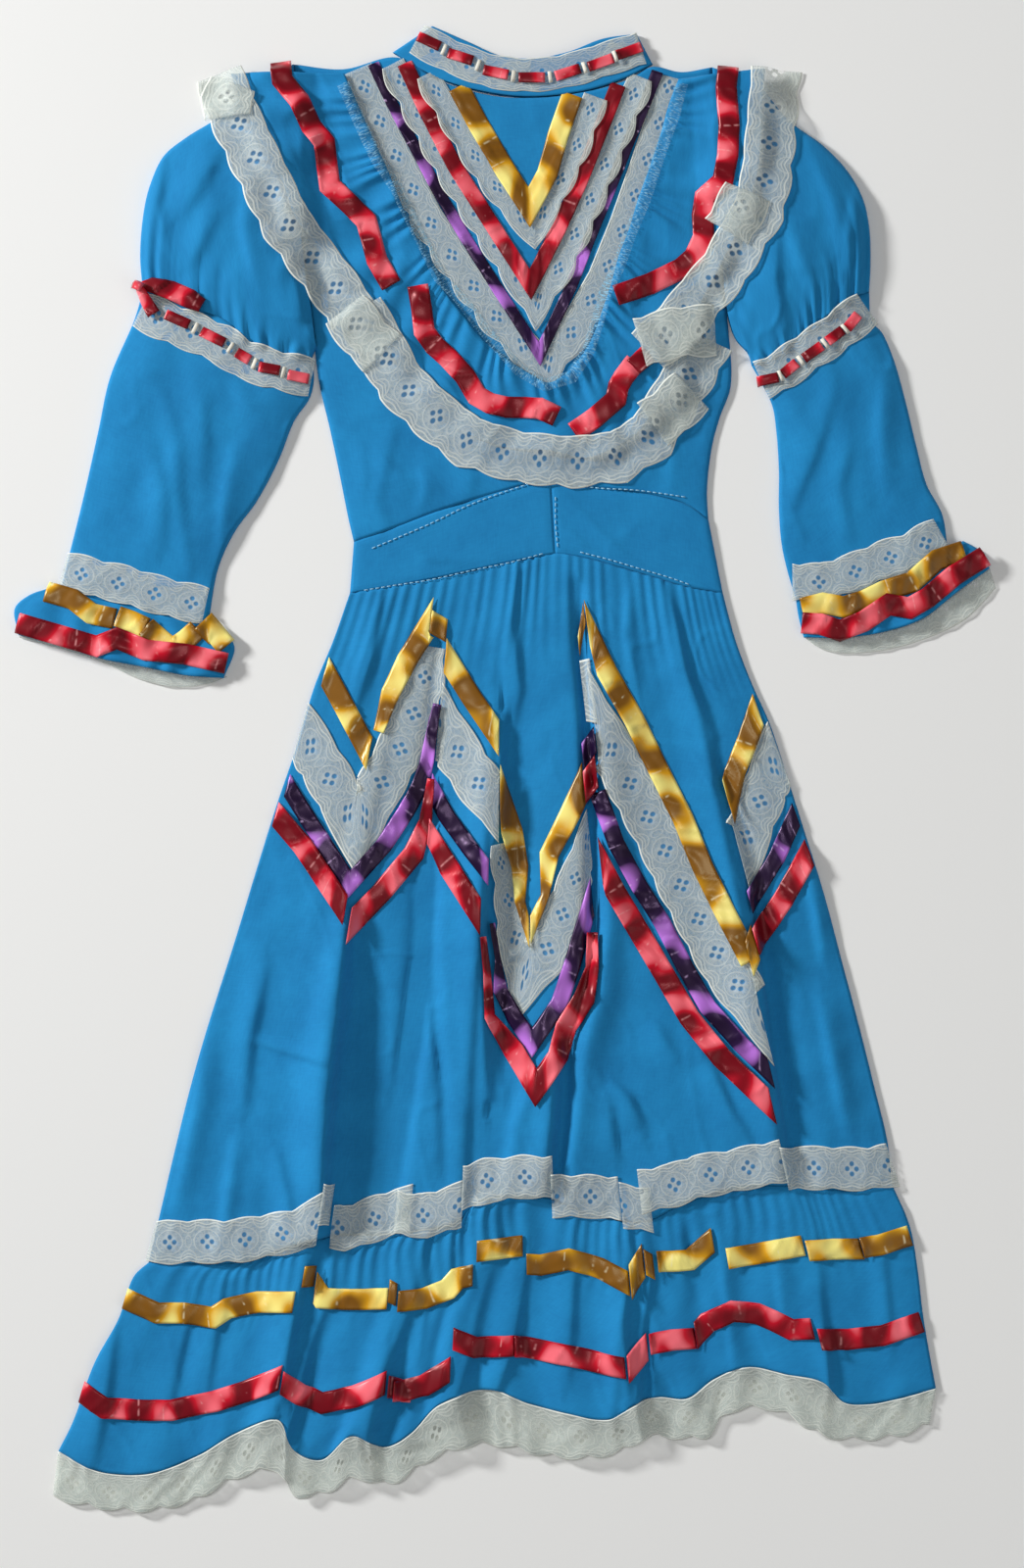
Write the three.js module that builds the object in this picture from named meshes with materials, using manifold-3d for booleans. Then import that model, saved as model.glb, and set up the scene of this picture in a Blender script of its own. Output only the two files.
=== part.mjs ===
// A girl's festive folk dress, laid flat: a bodice with a V of lace and ribbon and a gathered ruffle over
// the shoulders, full sleeves with flounced cuffs, a two-part waistband, and a wide skirt with a zigzag of
// lace and ribbon above a gathered flounce. The back lies flat and the front lies on it, with its folds.
// Millimetres, +X to the viewer's right, +Y towards the collar, +Z up from the surface.
import * as THREE from "three";
import { mergeVertices } from "three/addons/utils/BufferGeometryUtils.js";
import Module from "manifold-3d";

const wasm = await Module();
wasm.setup();

// Driving sizes
const CLOTH = 1.2; // wall of the cloth
const TRIM = 1.0; // wall of a ribbon or a lace
const SEAM = 0.3; // clearance between pieces that touch
const TURNING = 0.4; // how far a panel stops short of a curved seam's line
const FRONT = CLOTH + SEAM; // the lowest that the front layer lies
const TUBE_EDGE = 3.4; // height of a flattened sleeve along its folded edges
const RIBBON = 16; // width of the satin ribbons
const PURPLE_RIBBON = 13;
const YOKE_PURPLE_RIBBON = 9;
const YOKE_RED_RIBBON = 12;
const SKIRT_LACE_RISE = 62; // height of the skirt's lace measured straight down its slope
const YOKE_LACES = { inner: 13, middle: 14, outer: 15 };
const RUFFLE_LACE = 36;
const SEAM_LACE_WIDTH = 30;
const BAND_LACE = 27;
const CUFF_LACE = 26;
const RUFFLE_WAVES = 16;
const FLOUNCE_GATHERS = 16;
const PUFF_GATHERS = 8;
const CUFF_GATHERS = 6;
const SCALLOP = 29; // pitch of the scallops along the hem lace
const SCALLOP_DEPTH = 4;
const MITRE = 0.34; // the sharpest that a strip's corner is drawn out to, as the cosine of half its turn
const DRAPE = 15; // how wide the ruffle bridges what it lies on
const CUTTER = [-10, 80]; // the low and high side of a block that cuts through a layer

// Every table of an edge or of a middle line has two columns, x and y, with a row for each of its turns.
// Bodice
const SHOULDERS = [
  [-162, 538], [-124, 534], [-83, 543], [-50, 525], [-12, 514], [22, 512], [63, 517], [93, 526],
  [112, 536], [134, 532], [158, 536],
];
const BODICE_LEFT = [
  [-162, 538], [-158, 476], [-156, 400], [-148, 340], [-143, 297], [-134, 258], [-126, 220],
  [-120, 190], [-116, 173],
];
const BODICE_RIGHT = [
  [158, 536], [160, 476], [164, 400], [170, 340], [172, 292], [164, 269], [158, 247], [154, 213],
  [155, 190],
];
const BODICE_WAIST = [
  [-116, 173], [-87, 183], [-50, 197], [-12, 209], [22, 218], [35, 218], [63, 215], [100, 211],
  [138, 202], [155, 190],
];
// Waistband
const BAND_LEFT_TOP = [[-116, 173], [-87, 183], [-50, 197], [-12, 209], [22, 218], [35, 218]];
const BAND_LEFT_FOOT = [[-119, 134], [-87, 139], [-50, 146], [-12, 154], [22, 161], [38, 164]];
const BAND_RIGHT_TOP = [[35, 218], [63, 215], [100, 211], [138, 202], [155, 190]];
const BAND_RIGHT_FOOT = [[38, 164], [63, 160], [100, 150], [138, 139], [166, 134]];
// Skirt
const SKIRT_TOP = [
  [-119, 134], [-87, 139], [-50, 146], [-12, 154], [22, 161], [38, 164], [63, 160], [100, 150],
  [138, 139], [166, 134],
];
const SKIRT_LEFT = [
  [-119, 134], [-132, 97], [-146, 63], [-160, 16], [-175, -28], [-190, -76], [-207, -132],
  [-226, -192], [-241, -244], [-254, -297], [-273, -378],
];
const SKIRT_RIGHT = [
  [166, 134], [176, 97], [189, 63], [202, 34], [217, -12], [230, -53], [245, -102], [258, -151],
  [270, -196], [282, -244], [292, -286], [295, -317],
];
const SKIRT_FOOT = [
  [-273, -378], [-200, -376], [-143, -358], [-87, -356], [-38, -346], [-20, -331], [29, -327],
  [63, -340], [104, -346], [138, -331], [190, -318], [266, -322], [295, -317],
];
// Flounce
const FLOUNCE_LEFT = [[-273, -378], [-284, -388], [-296, -421], [-314, -454], [-331, -500], [-342, -522]];
const FLOUNCE_RIGHT = [[295, -317], [309, -350], [315, -383], [319, -417], [324, -447], [329, -474]];
const HEM = [
  [-342, -522], [-312, -537], [-274, -539], [-237, -526], [-207, -508], [-173, -496], [-162, -520],
  [-141, -528], [-117, -508], [-93, -518], [-72, -507], [-50, -484], [-12, -474], [18, -485],
  [48, -492], [78, -496], [100, -484], [116, -480], [138, -481], [160, -466], [183, -457],
  [213, -462], [242, -468], [258, -484], [277, -486], [303, -481], [329, -474],
];
const HEM_EDGE = [
  [-346, -560], [-301, -568], [-267, -568], [-237, -560], [-207, -544], [-175, -537], [-160, -557],
  [-136, -554], [-116, -543], [-88, -548], [-64, -533], [-42, -522], [-21, -518], [3, -520],
  [33, -527], [70, -527], [93, -520], [108, -512], [130, -513], [154, -512], [168, -495],
  [190, -490], [213, -494], [234, -507], [250, -513], [299, -512], [324, -503],
];
// Sleeves: the puff from the armhole to the lace band, and the lower sleeve from the band to the wrist
const PUFF_LEFT_HEAD = [[-162, 538], [-157, 476], [-155, 400], [-148, 345], [-145, 322]];
const PUFF_LEFT_OUTER = [
  [-162, 538], [-190, 522], [-220, 497], [-244, 482], [-261, 468], [-271, 447], [-276, 427],
  [-279, 393], [-277, 365],
];
const PUFF_LEFT_UNDER = [[-145, 322], [-149, 313]];
const BAND_SEAM_LEFT = [
  [-277, 365], [-263, 358], [-237, 350], [-213, 341], [-197, 326], [-173, 317], [-149, 313],
];
const LOWER_LEFT_OUTER = [
  [-277, 365], [-283, 344], [-302, 299], [-311, 258], [-321, 213], [-332, 168], [-340, 136],
];
const LOWER_LEFT_UNDER = [
  [-149, 313], [-147, 300], [-150, 284], [-162, 266], [-174, 236], [-191, 204], [-207, 182], [-220, 154],
  [-228, 110],
];
const SLEEVE_LEFT_WRIST = [[-340, 136], [-312, 129], [-278, 121], [-252, 114], [-228, 110]];
const PUFF_RIGHT_HEAD = [[158, 536], [160, 476], [164, 400], [170, 345], [176, 328], [186, 317]];
const PUFF_RIGHT_OUTER = [
  [158, 536], [190, 525], [217, 495], [243, 476], [262, 456], [273, 436], [278, 414], [279, 385],
  [278, 364],
];
const PUFF_RIGHT_UNDER = [[186, 317], [188, 308]];
const BAND_SEAM_RIGHT = [[278, 364], [265, 359], [247, 346], [224, 329], [206, 313], [188, 308]];
const LOWER_RIGHT_OUTER = [
  [278, 364], [280, 342], [288, 333], [297, 312], [306, 280], [314, 247], [322, 217], [334, 194],
  [338, 168],
];
const LOWER_RIGHT_UNDER = [
  [188, 308], [196, 294], [204, 277], [207, 258], [209, 228], [209, 198], [211, 172], [215, 153], [222, 129],
];
const SLEEVE_RIGHT_WRIST = [[338, 168], [310, 152], [288, 144], [258, 135], [222, 129]];
// Cuff flounces
const CUFF_LEFT_TOP = [
  [-350, 137], [-340, 136], [-312, 129], [-278, 121], [-252, 114], [-228, 110], [-222, 107],
];
const CUFF_LEFT_FOOT = [[-372, 102], [-342, 94], [-310, 84], [-274, 77], [-244, 71], [-216, 69]];
const CUFF_LEFT_OUTER = [[-350, 137], [-364, 132], [-375, 122], [-372, 102]];
const CUFF_LEFT_INNER = [[-222, 107], [-208, 94], [-216, 69]];
const CUFF_RIGHT_TOP = [[350, 174], [338, 168], [310, 152], [288, 144], [258, 135], [222, 129]];
const CUFF_RIGHT_FOOT = [[370, 153], [344, 134], [318, 114], [288, 104], [258, 100], [228, 100]];
const CUFF_RIGHT_OUTER = [[350, 174], [363, 166], [370, 153]];
const CUFF_RIGHT_INNER = [[222, 129], [224, 116], [228, 100]];
const CUFF_LEFT_EDGE = [
  [-372, 100], [-342, 92], [-310, 82], [-282, 69], [-252, 62], [-226, 65], [-213, 70],
];
const CUFF_RIGHT_EDGE = [[375, 138], [352, 114], [318, 98], [288, 90], [258, 88], [240, 92], [230, 99]];
// Collar
const COLLAR_TOP = [[-56, 567], [-27, 554], [-4, 544], [22, 542], [48, 547], [74, 557], [100, 561]];
const COLLAR_FOOT = [[-86, 547], [-51, 527], [-12, 516], [22, 513], [63, 518], [93, 528], [112, 538]];
const COLLAR_LEFT = [[-56, 567], [-86, 547]];
const COLLAR_RIGHT = [[100, 561], [112, 538]];
// Trim on the yoke, from the left shoulder round the point of the V
const YOKE_LACE_OUTER = [
  [-113, 534], [-100, 504], [-83, 468], [-60, 422], [-34, 382], [-4, 342], [30, 306], [54, 339],
  [74, 374], [91, 416], [105, 456], [117, 492], [126, 528],
];
const YOKE_RIBBON_OUTER = [
  [-101, 538], [-87, 508], [-69, 474], [-50, 438], [-30, 404], [-8, 369], [26, 316], [51, 370],
  [64, 404], [78, 438], [93, 476], [105, 504], [116, 532],
];
const YOKE_LACE_MIDDLE = [
  [-86, 538], [-66, 501], [-44, 460], [-18, 418], [4, 384], [23, 354], [39, 380], [57, 418],
  [72, 454], [88, 494], [103, 528],
];
const YOKE_RIBBON_MIDDLE = [
  [-77, 538], [-60, 501], [-39, 460], [-15, 422], [19, 369], [40, 411], [56, 446], [72, 486],
  [86, 522],
];
const YOKE_LACE_INNER = [
  [-60, 530], [-40, 496], [-18, 460], [3, 432], [21, 411], [34, 435], [51, 468], [68, 513],
];
const YOKE_RIBBON_INNER = [[-36, 520], [-20, 490], [0, 456], [18, 428], [32, 454], [40, 483], [51, 514]];
// Ruffle over the shoulders: seam and free edge, station by station
const RUFFLE_SEAM = [
  [-123, 530], [-113, 507], [-100, 478], [-88, 452], [-76, 422], [-63, 395], [-52, 375], [-46, 363],
  [-33, 346], [-18, 328], [1, 312], [20, 300], [32, 294], [42, 298], [56, 312], [66, 328], [74, 350],
  [80, 368], [86, 390], [94, 411], [101, 434], [109, 456], [118, 483], [125, 508], [132, 526],
];
const RUFFLE_EDGE = [
  [-210, 531], [-200, 504], [-186, 476], [-170, 447], [-158, 416], [-135, 392], [-120, 369],
  [-108, 348], [-90, 320], [-69, 291], [-44, 264], [-6, 246], [33, 242], [64, 237], [96, 252],
  [111, 268], [132, 294], [138, 324], [150, 356], [166, 387], [182, 420], [191, 449], [195, 483],
  [196, 510], [198, 534],
];
const RUFFLE_LACE_1 = [
  [-219, 531], [-210, 506], [-196, 476], [-182, 447], [-166, 414], [-146, 388], [-129, 366],
  [-116, 346],
];
const RUFFLE_LACE_2 = [
  [-111, 350], [-96, 324], [-80, 294], [-57, 272], [-28, 249], [10, 238], [50, 234], [86, 238],
  [111, 254], [126, 279], [142, 304], [154, 328],
];
const RUFFLE_LACE_3 = [
  [108, 318], [132, 340], [150, 362], [166, 380], [177, 400], [192, 424], [198, 453], [201, 483],
  [204, 510], [206, 534],
];
const RUFFLE_RIBBON_1 = [
  [-172, 540], [-170, 524], [-157, 508], [-148, 489], [-138, 477], [-136, 459], [-134, 444],
  [-118, 429], [-106, 417], [-102, 402], [-98, 387], [-87, 368],
];
const RUFFLE_RIBBON_2 = [
  [-68, 368], [-64, 351], [-62, 332], [-50, 316], [-32, 304], [-26, 286], [-6, 279], [14, 273],
  [33, 274], [50, 253], [68, 270], [84, 286], [96, 302], [105, 316],
];
const RUFFLE_RIBBON_3 = [
  [170, 536], [168, 519], [170, 489], [169, 466], [165, 446], [152, 435], [150, 422], [151, 405],
  [144, 390], [134, 381], [110, 369], [84, 360],
];
// Sleeve bands
const SLEEVE_BAND_LEFT = [
  [-279, 350], [-260, 341], [-237, 332], [-218, 324], [-202, 313], [-181, 305], [-148, 298],
];
const SLEEVE_BAND_RIGHT = [[276, 351], [262, 340], [247, 328], [228, 316], [212, 304], [195, 296]];
const BOW_TOP = [[-278, 368], [-267, 376], [-248, 368], [-229, 358]];
const BOW_FOOT = [[-276, 362], [-263, 363], [-248, 356], [-231, 347]];
// Cuff trim
const CUFF_LACE_LEFT = [[-338, 152], [-312, 145], [-290, 140], [-271, 134], [-252, 129], [-229, 124]];
const CUFF_LACE_RIGHT = [[333, 179], [310, 166], [288, 159], [264, 149], [242, 142], [219, 142]];
const CUFF_GOLD_LEFT = [
  [-351, 134], [-331, 128], [-315, 118], [-296, 122], [-276, 114], [-255, 100], [-233, 105],
  [-214, 95],
];
const CUFF_RED_LEFT = [
  [-373, 111], [-342, 102], [-312, 93], [-296, 99], [-274, 90], [-244, 87], [-213, 80],
];
const CUFF_GOLD_RIGHT = [
  [350, 166], [329, 159], [310, 142], [288, 135], [274, 128], [258, 123], [242, 126], [226, 122],
];
const CUFF_RED_RIGHT = [
  [366, 162], [342, 147], [322, 130], [308, 122], [292, 125], [273, 112], [255, 105], [240, 110],
  [226, 111],
];
// Skirt zigzag, each between two folds
const GOLD_1 = [[-142, 69], [-102, 12], [-87, 54], [-69, 90], [-56, 106], [-40, 76], [-22, 51], [-6, 26]];
const GOLD_2 = [
  [-5, -21], [7, -44], [10, -72], [12, -102], [19, -129], [32, -96], [33, -72], [48, -33], [63, -4],
];
const GOLD_3 = [
  [63, 108], [78, 76], [100, 33], [123, -9], [140, -40], [160, -84], [172, -117], [186, -150],
];
const GOLD_4 = [[169, -28], [173, -4], [184, 26], [194, 50]];
const LACE_1 = [
  [-153, 33], [-132, -9], [-116, -50], [-99, -16], [-78, 21], [-57, 70], [-39, 30], [-20, -9],
  [-8, -39],
];
const LACE_2 = [[-6, -50], [-4, -80], [-3, -110], [7, -147], [19, -165], [34, -141], [51, -102], [64, -50]];
const LACE_3 = [[63, 46], [80, 3], [102, -46], [126, -87], [147, -126], [170, -162], [190, -192]];
const LACE_4 = [[180, -75], [188, -42], [201, -4], [210, 28]];
const PURPLE_1 = [
  [-170, -10], [-147, -44], [-119, -90], [-99, -60], [-78, -30], [-57, 21], [-48, -33], [-30, -58],
  [-16, -84],
];
const PURPLE_2 = [
  [-9, -156], [-3, -177], [8, -192], [21, -210], [38, -189], [50, -166], [54, -138], [64, -102],
];
const PURPLE_3 = [
  [68, -24], [80, -56], [96, -81], [114, -111], [126, -132], [142, -158], [158, -184], [177, -212],
  [201, -236],
];
const PURPLE_4 = [[188, -106], [196, -88], [210, -66], [219, -42]];
const RED_1 = [
  [-176, -36], [-150, -72], [-121, -118], [-98, -92], [-78, -69], [-57, -34], [-45, -74], [-30, -96],
  [-20, -117],
];
const RED_2 = [
  [-14, -192], [-3, -207], [10, -225], [21, -244], [36, -226], [50, -196], [66, -166], [68, -132],
];
const RED_3 = [
  [69, -62], [80, -86], [93, -111], [108, -136], [124, -162], [138, -189], [160, -214], [183, -238],
  [202, -260],
];
const RED_4 = [[189, -135], [202, -116], [218, -92], [231, -63]];
// Lace over the skirt's foot, and the flounce's ribbons
const SEAM_LACE = [
  [-270, -362], [-237, -362], [-196, -360], [-162, -352], [-139, -333], [-123, -350], [-87, -340],
  [-64, -340], [-38, -336], [-27, -316], [3, -311], [34, -309], [42, -326], [84, -327], [99, -338],
  [110, -321], [138, -314], [168, -304], [202, -300], [214, -304], [247, -305], [273, -308],
  [293, -302],
];
const FLOUNCE_GOLD = [
  [-289, -406], [-263, -417], [-237, -418], [-216, -414], [-192, -410], [-162, -406], [-153, -388],
  [-140, -404], [-94, -405], [-80, -400], [-57, -396], [-28, -386], [-18, -369], [12, -364],
  [19, -378], [45, -374], [78, -384], [93, -392], [105, -370], [130, -374], [153, -358], [168, -374],
  [213, -366], [250, -366], [280, -363], [310, -356],
];
const FLOUNCE_RED_1 = [
  [-323, -473], [-301, -488], [-267, -490], [-230, -484], [-196, -474], [-171, -464], [-141, -484],
  [-113, -477], [-90, -465], [-78, -474], [-57, -464], [-43, -454],
];
const FLOUNCE_RED_2 = [
  [-39, -435], [-12, -441], [10, -441], [48, -447], [93, -456], [110, -438], [138, -436],
  [168, -416], [190, -418], [213, -428], [237, -430], [244, -436], [273, -436], [319, -426],
];

// Folds. Each row is one column of cloth from the seam above to the seam below: its share of the way across
// at the top and at the foot, and how high it lies at the top, halfway and at the foot.
const columns = rows => rows.map(([top, foot, high, middle, low]) => ({ top, foot, high, middle, low }));
const SKIRT_FOLDS = columns([
  [0.0, 0.0, 1.5, 1.5, 1.5],
  [0.06, 0.05, 2.5, 4, 4.5],
  [0.12, 0.12, 3, 6, 8],
  [0.15, 0.17, 3, 5, 7],
  [0.18, 0.232, 3, 8, 11],
  [0.195, 0.262, 3, 4.5, 4],
  [0.27, 0.316, 3, 3.5, 3],
  [0.35, 0.37, 3.5, 6, 7],
  [0.412, 0.41, 4, 8, 9],
  [0.424, 0.424, 4, 4, 5],
  [0.5, 0.47, 4, 6, 6],
  [0.57, 0.51, 5, 9, 9],
  [0.598, 0.53, 5, 10, 10],
  [0.606, 0.54, 4, 3, 4],
  [0.616, 0.552, 5, 9, 9],
  [0.66, 0.62, 4.5, 7, 6],
  [0.72, 0.7, 4, 8, 8],
  [0.79, 0.78, 3.5, 7, 8],
  [0.853, 0.852, 3.5, 10, 10],
  [0.861, 0.864, 3, 4, 4],
  [0.92, 0.92, 2.5, 5, 6],
  [1.0, 1.0, 1.5, 1.5, 1.5],
]);

// Larger folds of the flounce: the share of the way across, the height, and the reach on the soft side
const named = (names, rows) => rows.map(row => Object.fromEntries(names.map((name, i) => [name, row[i]])));
const FLOUNCE_FOLDS = named(["at", "height", "reach"], [
  [0.26, 8, 0.06],
  [0.37, 7, 0.05],
  [0.48, 8, 0.06],
  [0.64, 5, 0.05],
  [0.672, 8, 0.03],
  [0.878, 5, 0.06],
]);

// A smooth line through a table's rows, read by its share of the way along
function line(rows) {
  const turns = rows.map(([x, y]) => new THREE.Vector3(x, y, 0));
  const path = new THREE.CatmullRomCurve3(turns, false, "centripetal");
  path.arcLengthDivisions = 300;
  return share => path.getPointAt(THREE.MathUtils.clamp(share, 0, 1));
}

// The patch of cloth between four edges: straight across plus straight along, less what both count twice
function patch(edges) {
  const [top, foot, left, right] = edges.map(line);
  const corners = [top(0), top(1), foot(0), foot(1)];
  return (u, v) => {
    const point = top(u).multiplyScalar(1 - v).add(foot(u).multiplyScalar(v));
    point.add(left(v).multiplyScalar(1 - u)).add(right(v).multiplyScalar(u));
    point.addScaledVector(corners[0], -(1 - u) * (1 - v)).addScaledVector(corners[1], -u * (1 - v));
    return point.addScaledVector(corners[2], -(1 - u) * v).addScaledVector(corners[3], -u * v);
  };
}

// A share that stops just short of each end of a length, for the seam's clearance
const short = (share, length) => {
  const clear = TURNING / length;
  return clear + share * (1 - 2 * clear);
};

// Rows of points over a patch, a row for each share along, with the height that the cloth has there
function sheet(surface, across, along, size, height) {
  const rows = [];
  for (let j = 0; j <= along; j++) {
    const v = short(j / along, size[1]);
    rows.push([]);
    for (let i = 0; i <= across; i++) {
      const u = short(i / across, size[0]);
      const point = surface(u, v);
      point.z = height(u, v, point);
      rows[j].push(point);
    }
  }
  return rows;
}

// A closed body from its points and its triangles, turned to face outwards
function body(points, faces) {
  let volume = 0;
  const turned = new THREE.Vector3();
  for (const [a, b, c] of faces) {
    volume += points[a].dot(turned.crossVectors(points[b], points[c]));
  }
  const geometry = new THREE.BufferGeometry();
  geometry.setAttribute("position", new THREE.Float32BufferAttribute(points.flatMap(p => p.toArray()), 3));
  geometry.setIndex(faces.flatMap(([a, b, c]) => (volume < 0 ? [a, c, b] : [a, b, c])));
  return geometry;
}

const quad = (a, b, c, d) => [[a, b, c], [a, c, d]];

// A wall over rows of points: an underside, an upper side, and the four rims between them
function wall(rows, low, high) {
  const wide = rows[0].length;
  const flat = rows.flat();
  const count = flat.length;
  const lifted = rise => flat.map(p => new THREE.Vector3(p.x, p.y, p.z + rise));
  const points = [...lifted(low), ...lifted(high)];
  const faces = [];
  for (let j = 0; j + 1 < rows.length; j++) {
    for (let i = 0; i + 1 < wide; i++) {
      const corner = j * wide + i;
      faces.push(...quad(corner, corner + 1, corner + 1 + wide, corner + wide));
      const above = corner + count;
      faces.push(...quad(above, above + wide, above + 1 + wide, above + 1));
    }
  }
  const last = (rows.length - 1) * wide;
  for (let i = 0; i + 1 < wide; i++) {
    faces.push(...quad(i, i + count, i + 1 + count, i + 1));
    faces.push(...quad(last + i + 1, last + i + 1 + count, last + i + count, last + i));
  }
  for (let j = 0; j + 1 < rows.length; j++) {
    const left = j * wide;
    const right = left + wide - 1;
    faces.push(...quad(left + wide, left + wide + count, left + count, left));
    faces.push(...quad(right, right + count, right + wide + count, right + wide));
  }
  return body(points, faces);
}

// A flattened tube over rows of points, which are its front's upper side: rings run across the front and back
// along the surface, an outer ring and, a wall's thickness inside it, an inner one, open at both ends
function tube(rows) {
  const across = rows[0].length - 1;
  const backs = [0, 1, 2, 3, 4].map(i => across - Math.round((i * across) / 4));
  const points = [];
  for (const row of rows) {
    const inward = new THREE.Vector3().subVectors(row[across], row[0]).setZ(0).setLength(CLOTH);
    const inner = row.map(p => p.clone());
    inner[0].add(inward);
    inner[across].sub(inward);
    const at = (ring, i, z) => new THREE.Vector3(ring[i].x, ring[i].y, z);
    points.push(...row, ...backs.map(i => at(row, i, 0)));
    points.push(...inner.map(p => p.setZ(p.z - CLOTH)), ...backs.map(i => at(inner, i, CLOTH)));
  }
  const around = rows[0].length + backs.length;
  const faces = [];
  const ring = (j, side, i) => (2 * j + side) * around + (i % around);
  for (let i = 0; i < around; i++) {
    for (let j = 0; j + 1 < rows.length; j++) {
      faces.push(...quad(ring(j, 0, i), ring(j, 0, i + 1), ring(j + 1, 0, i + 1), ring(j + 1, 0, i)));
      faces.push(...quad(ring(j, 1, i), ring(j + 1, 1, i), ring(j + 1, 1, i + 1), ring(j, 1, i + 1)));
    }
    const end = rows.length - 1;
    faces.push(...quad(ring(0, 0, i), ring(0, 1, i), ring(0, 1, i + 1), ring(0, 0, i + 1)));
    faces.push(...quad(ring(end, 0, i), ring(end, 0, i + 1), ring(end, 1, i + 1), ring(end, 1, i)));
  }
  return body(points, faces);
}

function solidOf(geometry) {
  const plain = geometry.clone();
  plain.deleteAttribute("normal");
  plain.deleteAttribute("uv");
  const merged = mergeVertices(plain, 1e-4);
  return new wasm.Manifold(new wasm.Mesh({
    numProp: 3,
    vertProperties: new Float32Array(merged.attributes.position.array),
    triVerts: new Uint32Array(merged.index.array),
  }));
}

function geometryOf(solid) {
  const parts = solid.decompose().sort((a, b) => b.volume() - a.volume());
  const mesh = parts[0].getMesh();
  const geometry = new THREE.BufferGeometry();
  geometry.setAttribute("position", new THREE.Float32BufferAttribute(mesh.vertProperties, 3));
  geometry.setIndex(Array.from(mesh.triVerts));
  return geometry;
}

// The upright block over an outline in the plan
function block(outline, low, high) {
  const shape = new THREE.Shape(outline.map(([x, y]) => new THREE.Vector2(x, y)));
  const solid = new THREE.ExtrudeGeometry(shape, { depth: high - low, bevelEnabled: false, steps: 1 });
  return solid.translate(0, 0, low);
}

// The outline of a strip of cloth along a middle line, mitred where it turns
function strip(middle, width) {
  const sides = [[], []];
  middle.forEach(([x, y], i) => {
    const [before, after] = [middle[Math.max(i - 1, 0)], middle[Math.min(i + 1, middle.length - 1)]];
    const come = new THREE.Vector2(x - before[0], y - before[1]).normalize();
    const go = new THREE.Vector2(after[0] - x, after[1] - y).normalize();
    const [a, b] = [i ? come : go, i + 1 < middle.length ? go : come];
    const across = new THREE.Vector2(-a.y - b.y, a.x + b.x).normalize();
    const reach = width / 2 / Math.max(across.dot(new THREE.Vector2(-a.y, a.x)), MITRE);
    sides[0].push([x + across.x * reach, y + across.y * reach]);
    sides[1].push([x - across.x * reach, y - across.y * reach]);
  });
  return [...sides[0], ...sides[1].reverse()];
}

// The outline of a band whose height is measured straight down, so that its points stay sharp
const drop = (middle, rise) => [
  ...middle.map(([x, y]) => [x, y + rise / 2]),
  ...middle.map(([x, y]) => [x, y - rise / 2]).reverse(),
];

// A trim that lies on a panel: a layer over the panel's points, cut to the trim's outline, clear of others
function trim(rows, outline, others = [], layer = CLOTH) {
  const over = solidOf(wall(rows, layer + SEAM, layer + SEAM + TRIM));
  let piece = over.intersect(solidOf(block(outline, ...CUTTER)));
  for (const other of others) {
    piece = piece.subtract(solidOf(block(other, ...CUTTER)));
  }
  return geometryOf(piece);
}

// The outline of a panel in the plan, grown by a clearance
function edgeOf(rows, grown) {
  return [
    ...rows[0].map(p => [p.x, p.y + grown]),
    ...rows.slice(1, -1).map(row => [row.at(-1).x + grown, row.at(-1).y]),
    ...rows.at(-1).map(p => [p.x, p.y - grown]).reverse(),
    ...rows.slice(1, -1).map(row => [row[0].x - grown, row[0].y]).reverse(),
  ];
}

const lowered = (rows, by) => rows.map(([x, y]) => [x, y - by]);

// A panel cut back, where a curved seam needs it, to stay clear of its neighbour's edge
function cutClear(geometry, neighbour) {
  return geometryOf(solidOf(geometry).subtract(solidOf(block(edgeOf(neighbour, SEAM), ...CUTTER))));
}

// The heights of what is laid already, on a grid of small squares, so that the next piece is laid on top
const CELL = 3;
const FIELD = { wide: 270, high: 400 };
const heights = new Float32Array(FIELD.wide * FIELD.high);
const columnOf = x => Math.round(x / CELL + FIELD.wide / 2);
const rowOf = y => Math.round(y / CELL + FIELD.high / 2);

function layDown(rows, thickness) {
  const STEPS = 16;
  const point = new THREE.Vector3();
  const lower = new THREE.Vector3();
  for (let j = 0; j + 1 < rows.length; j++) {
    for (let i = 0; i + 1 < rows[0].length; i++) {
      for (let step = 0; step < STEPS * STEPS; step++) {
        const [across, down] = [(step % STEPS) / (STEPS - 1), Math.floor(step / STEPS) / (STEPS - 1)];
        point.lerpVectors(rows[j][i], rows[j][i + 1], across);
        lower.lerpVectors(rows[j + 1][i], rows[j + 1][i + 1], across);
        point.lerp(lower, down);
        const cell = rowOf(point.y) * FIELD.wide + columnOf(point.x);
        heights[cell] = Math.max(heights[cell], point.z + thickness);
      }
    }
  }
}

// The height of the highest thing within reach of a place
function highest(point, reach) {
  const steps = Math.ceil(reach / CELL);
  const [column, row] = [columnOf(point.x), rowOf(point.y)];
  let top = 0;
  for (let y = row - steps; y <= row + steps; y++) {
    for (let x = column - steps; x <= column + steps; x++) {
      top = Math.max(top, heights[y * FIELD.wide + x] ?? 0);
    }
  }
  return top;
}

const group = new THREE.Group();
const finishes = {
  cloth: { color: 0x1f86bb, roughness: 0.82, metalness: 0 },
  lace: { color: 0xdde4e0, roughness: 0.7, metalness: 0 },
  gold: { color: 0xe0ac28, roughness: 0.35, metalness: 0 },
  red: { color: 0xb8091f, roughness: 0.35, metalness: 0 },
  purple: { color: 0x4b1d66, roughness: 0.4, metalness: 0 },
};

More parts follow.
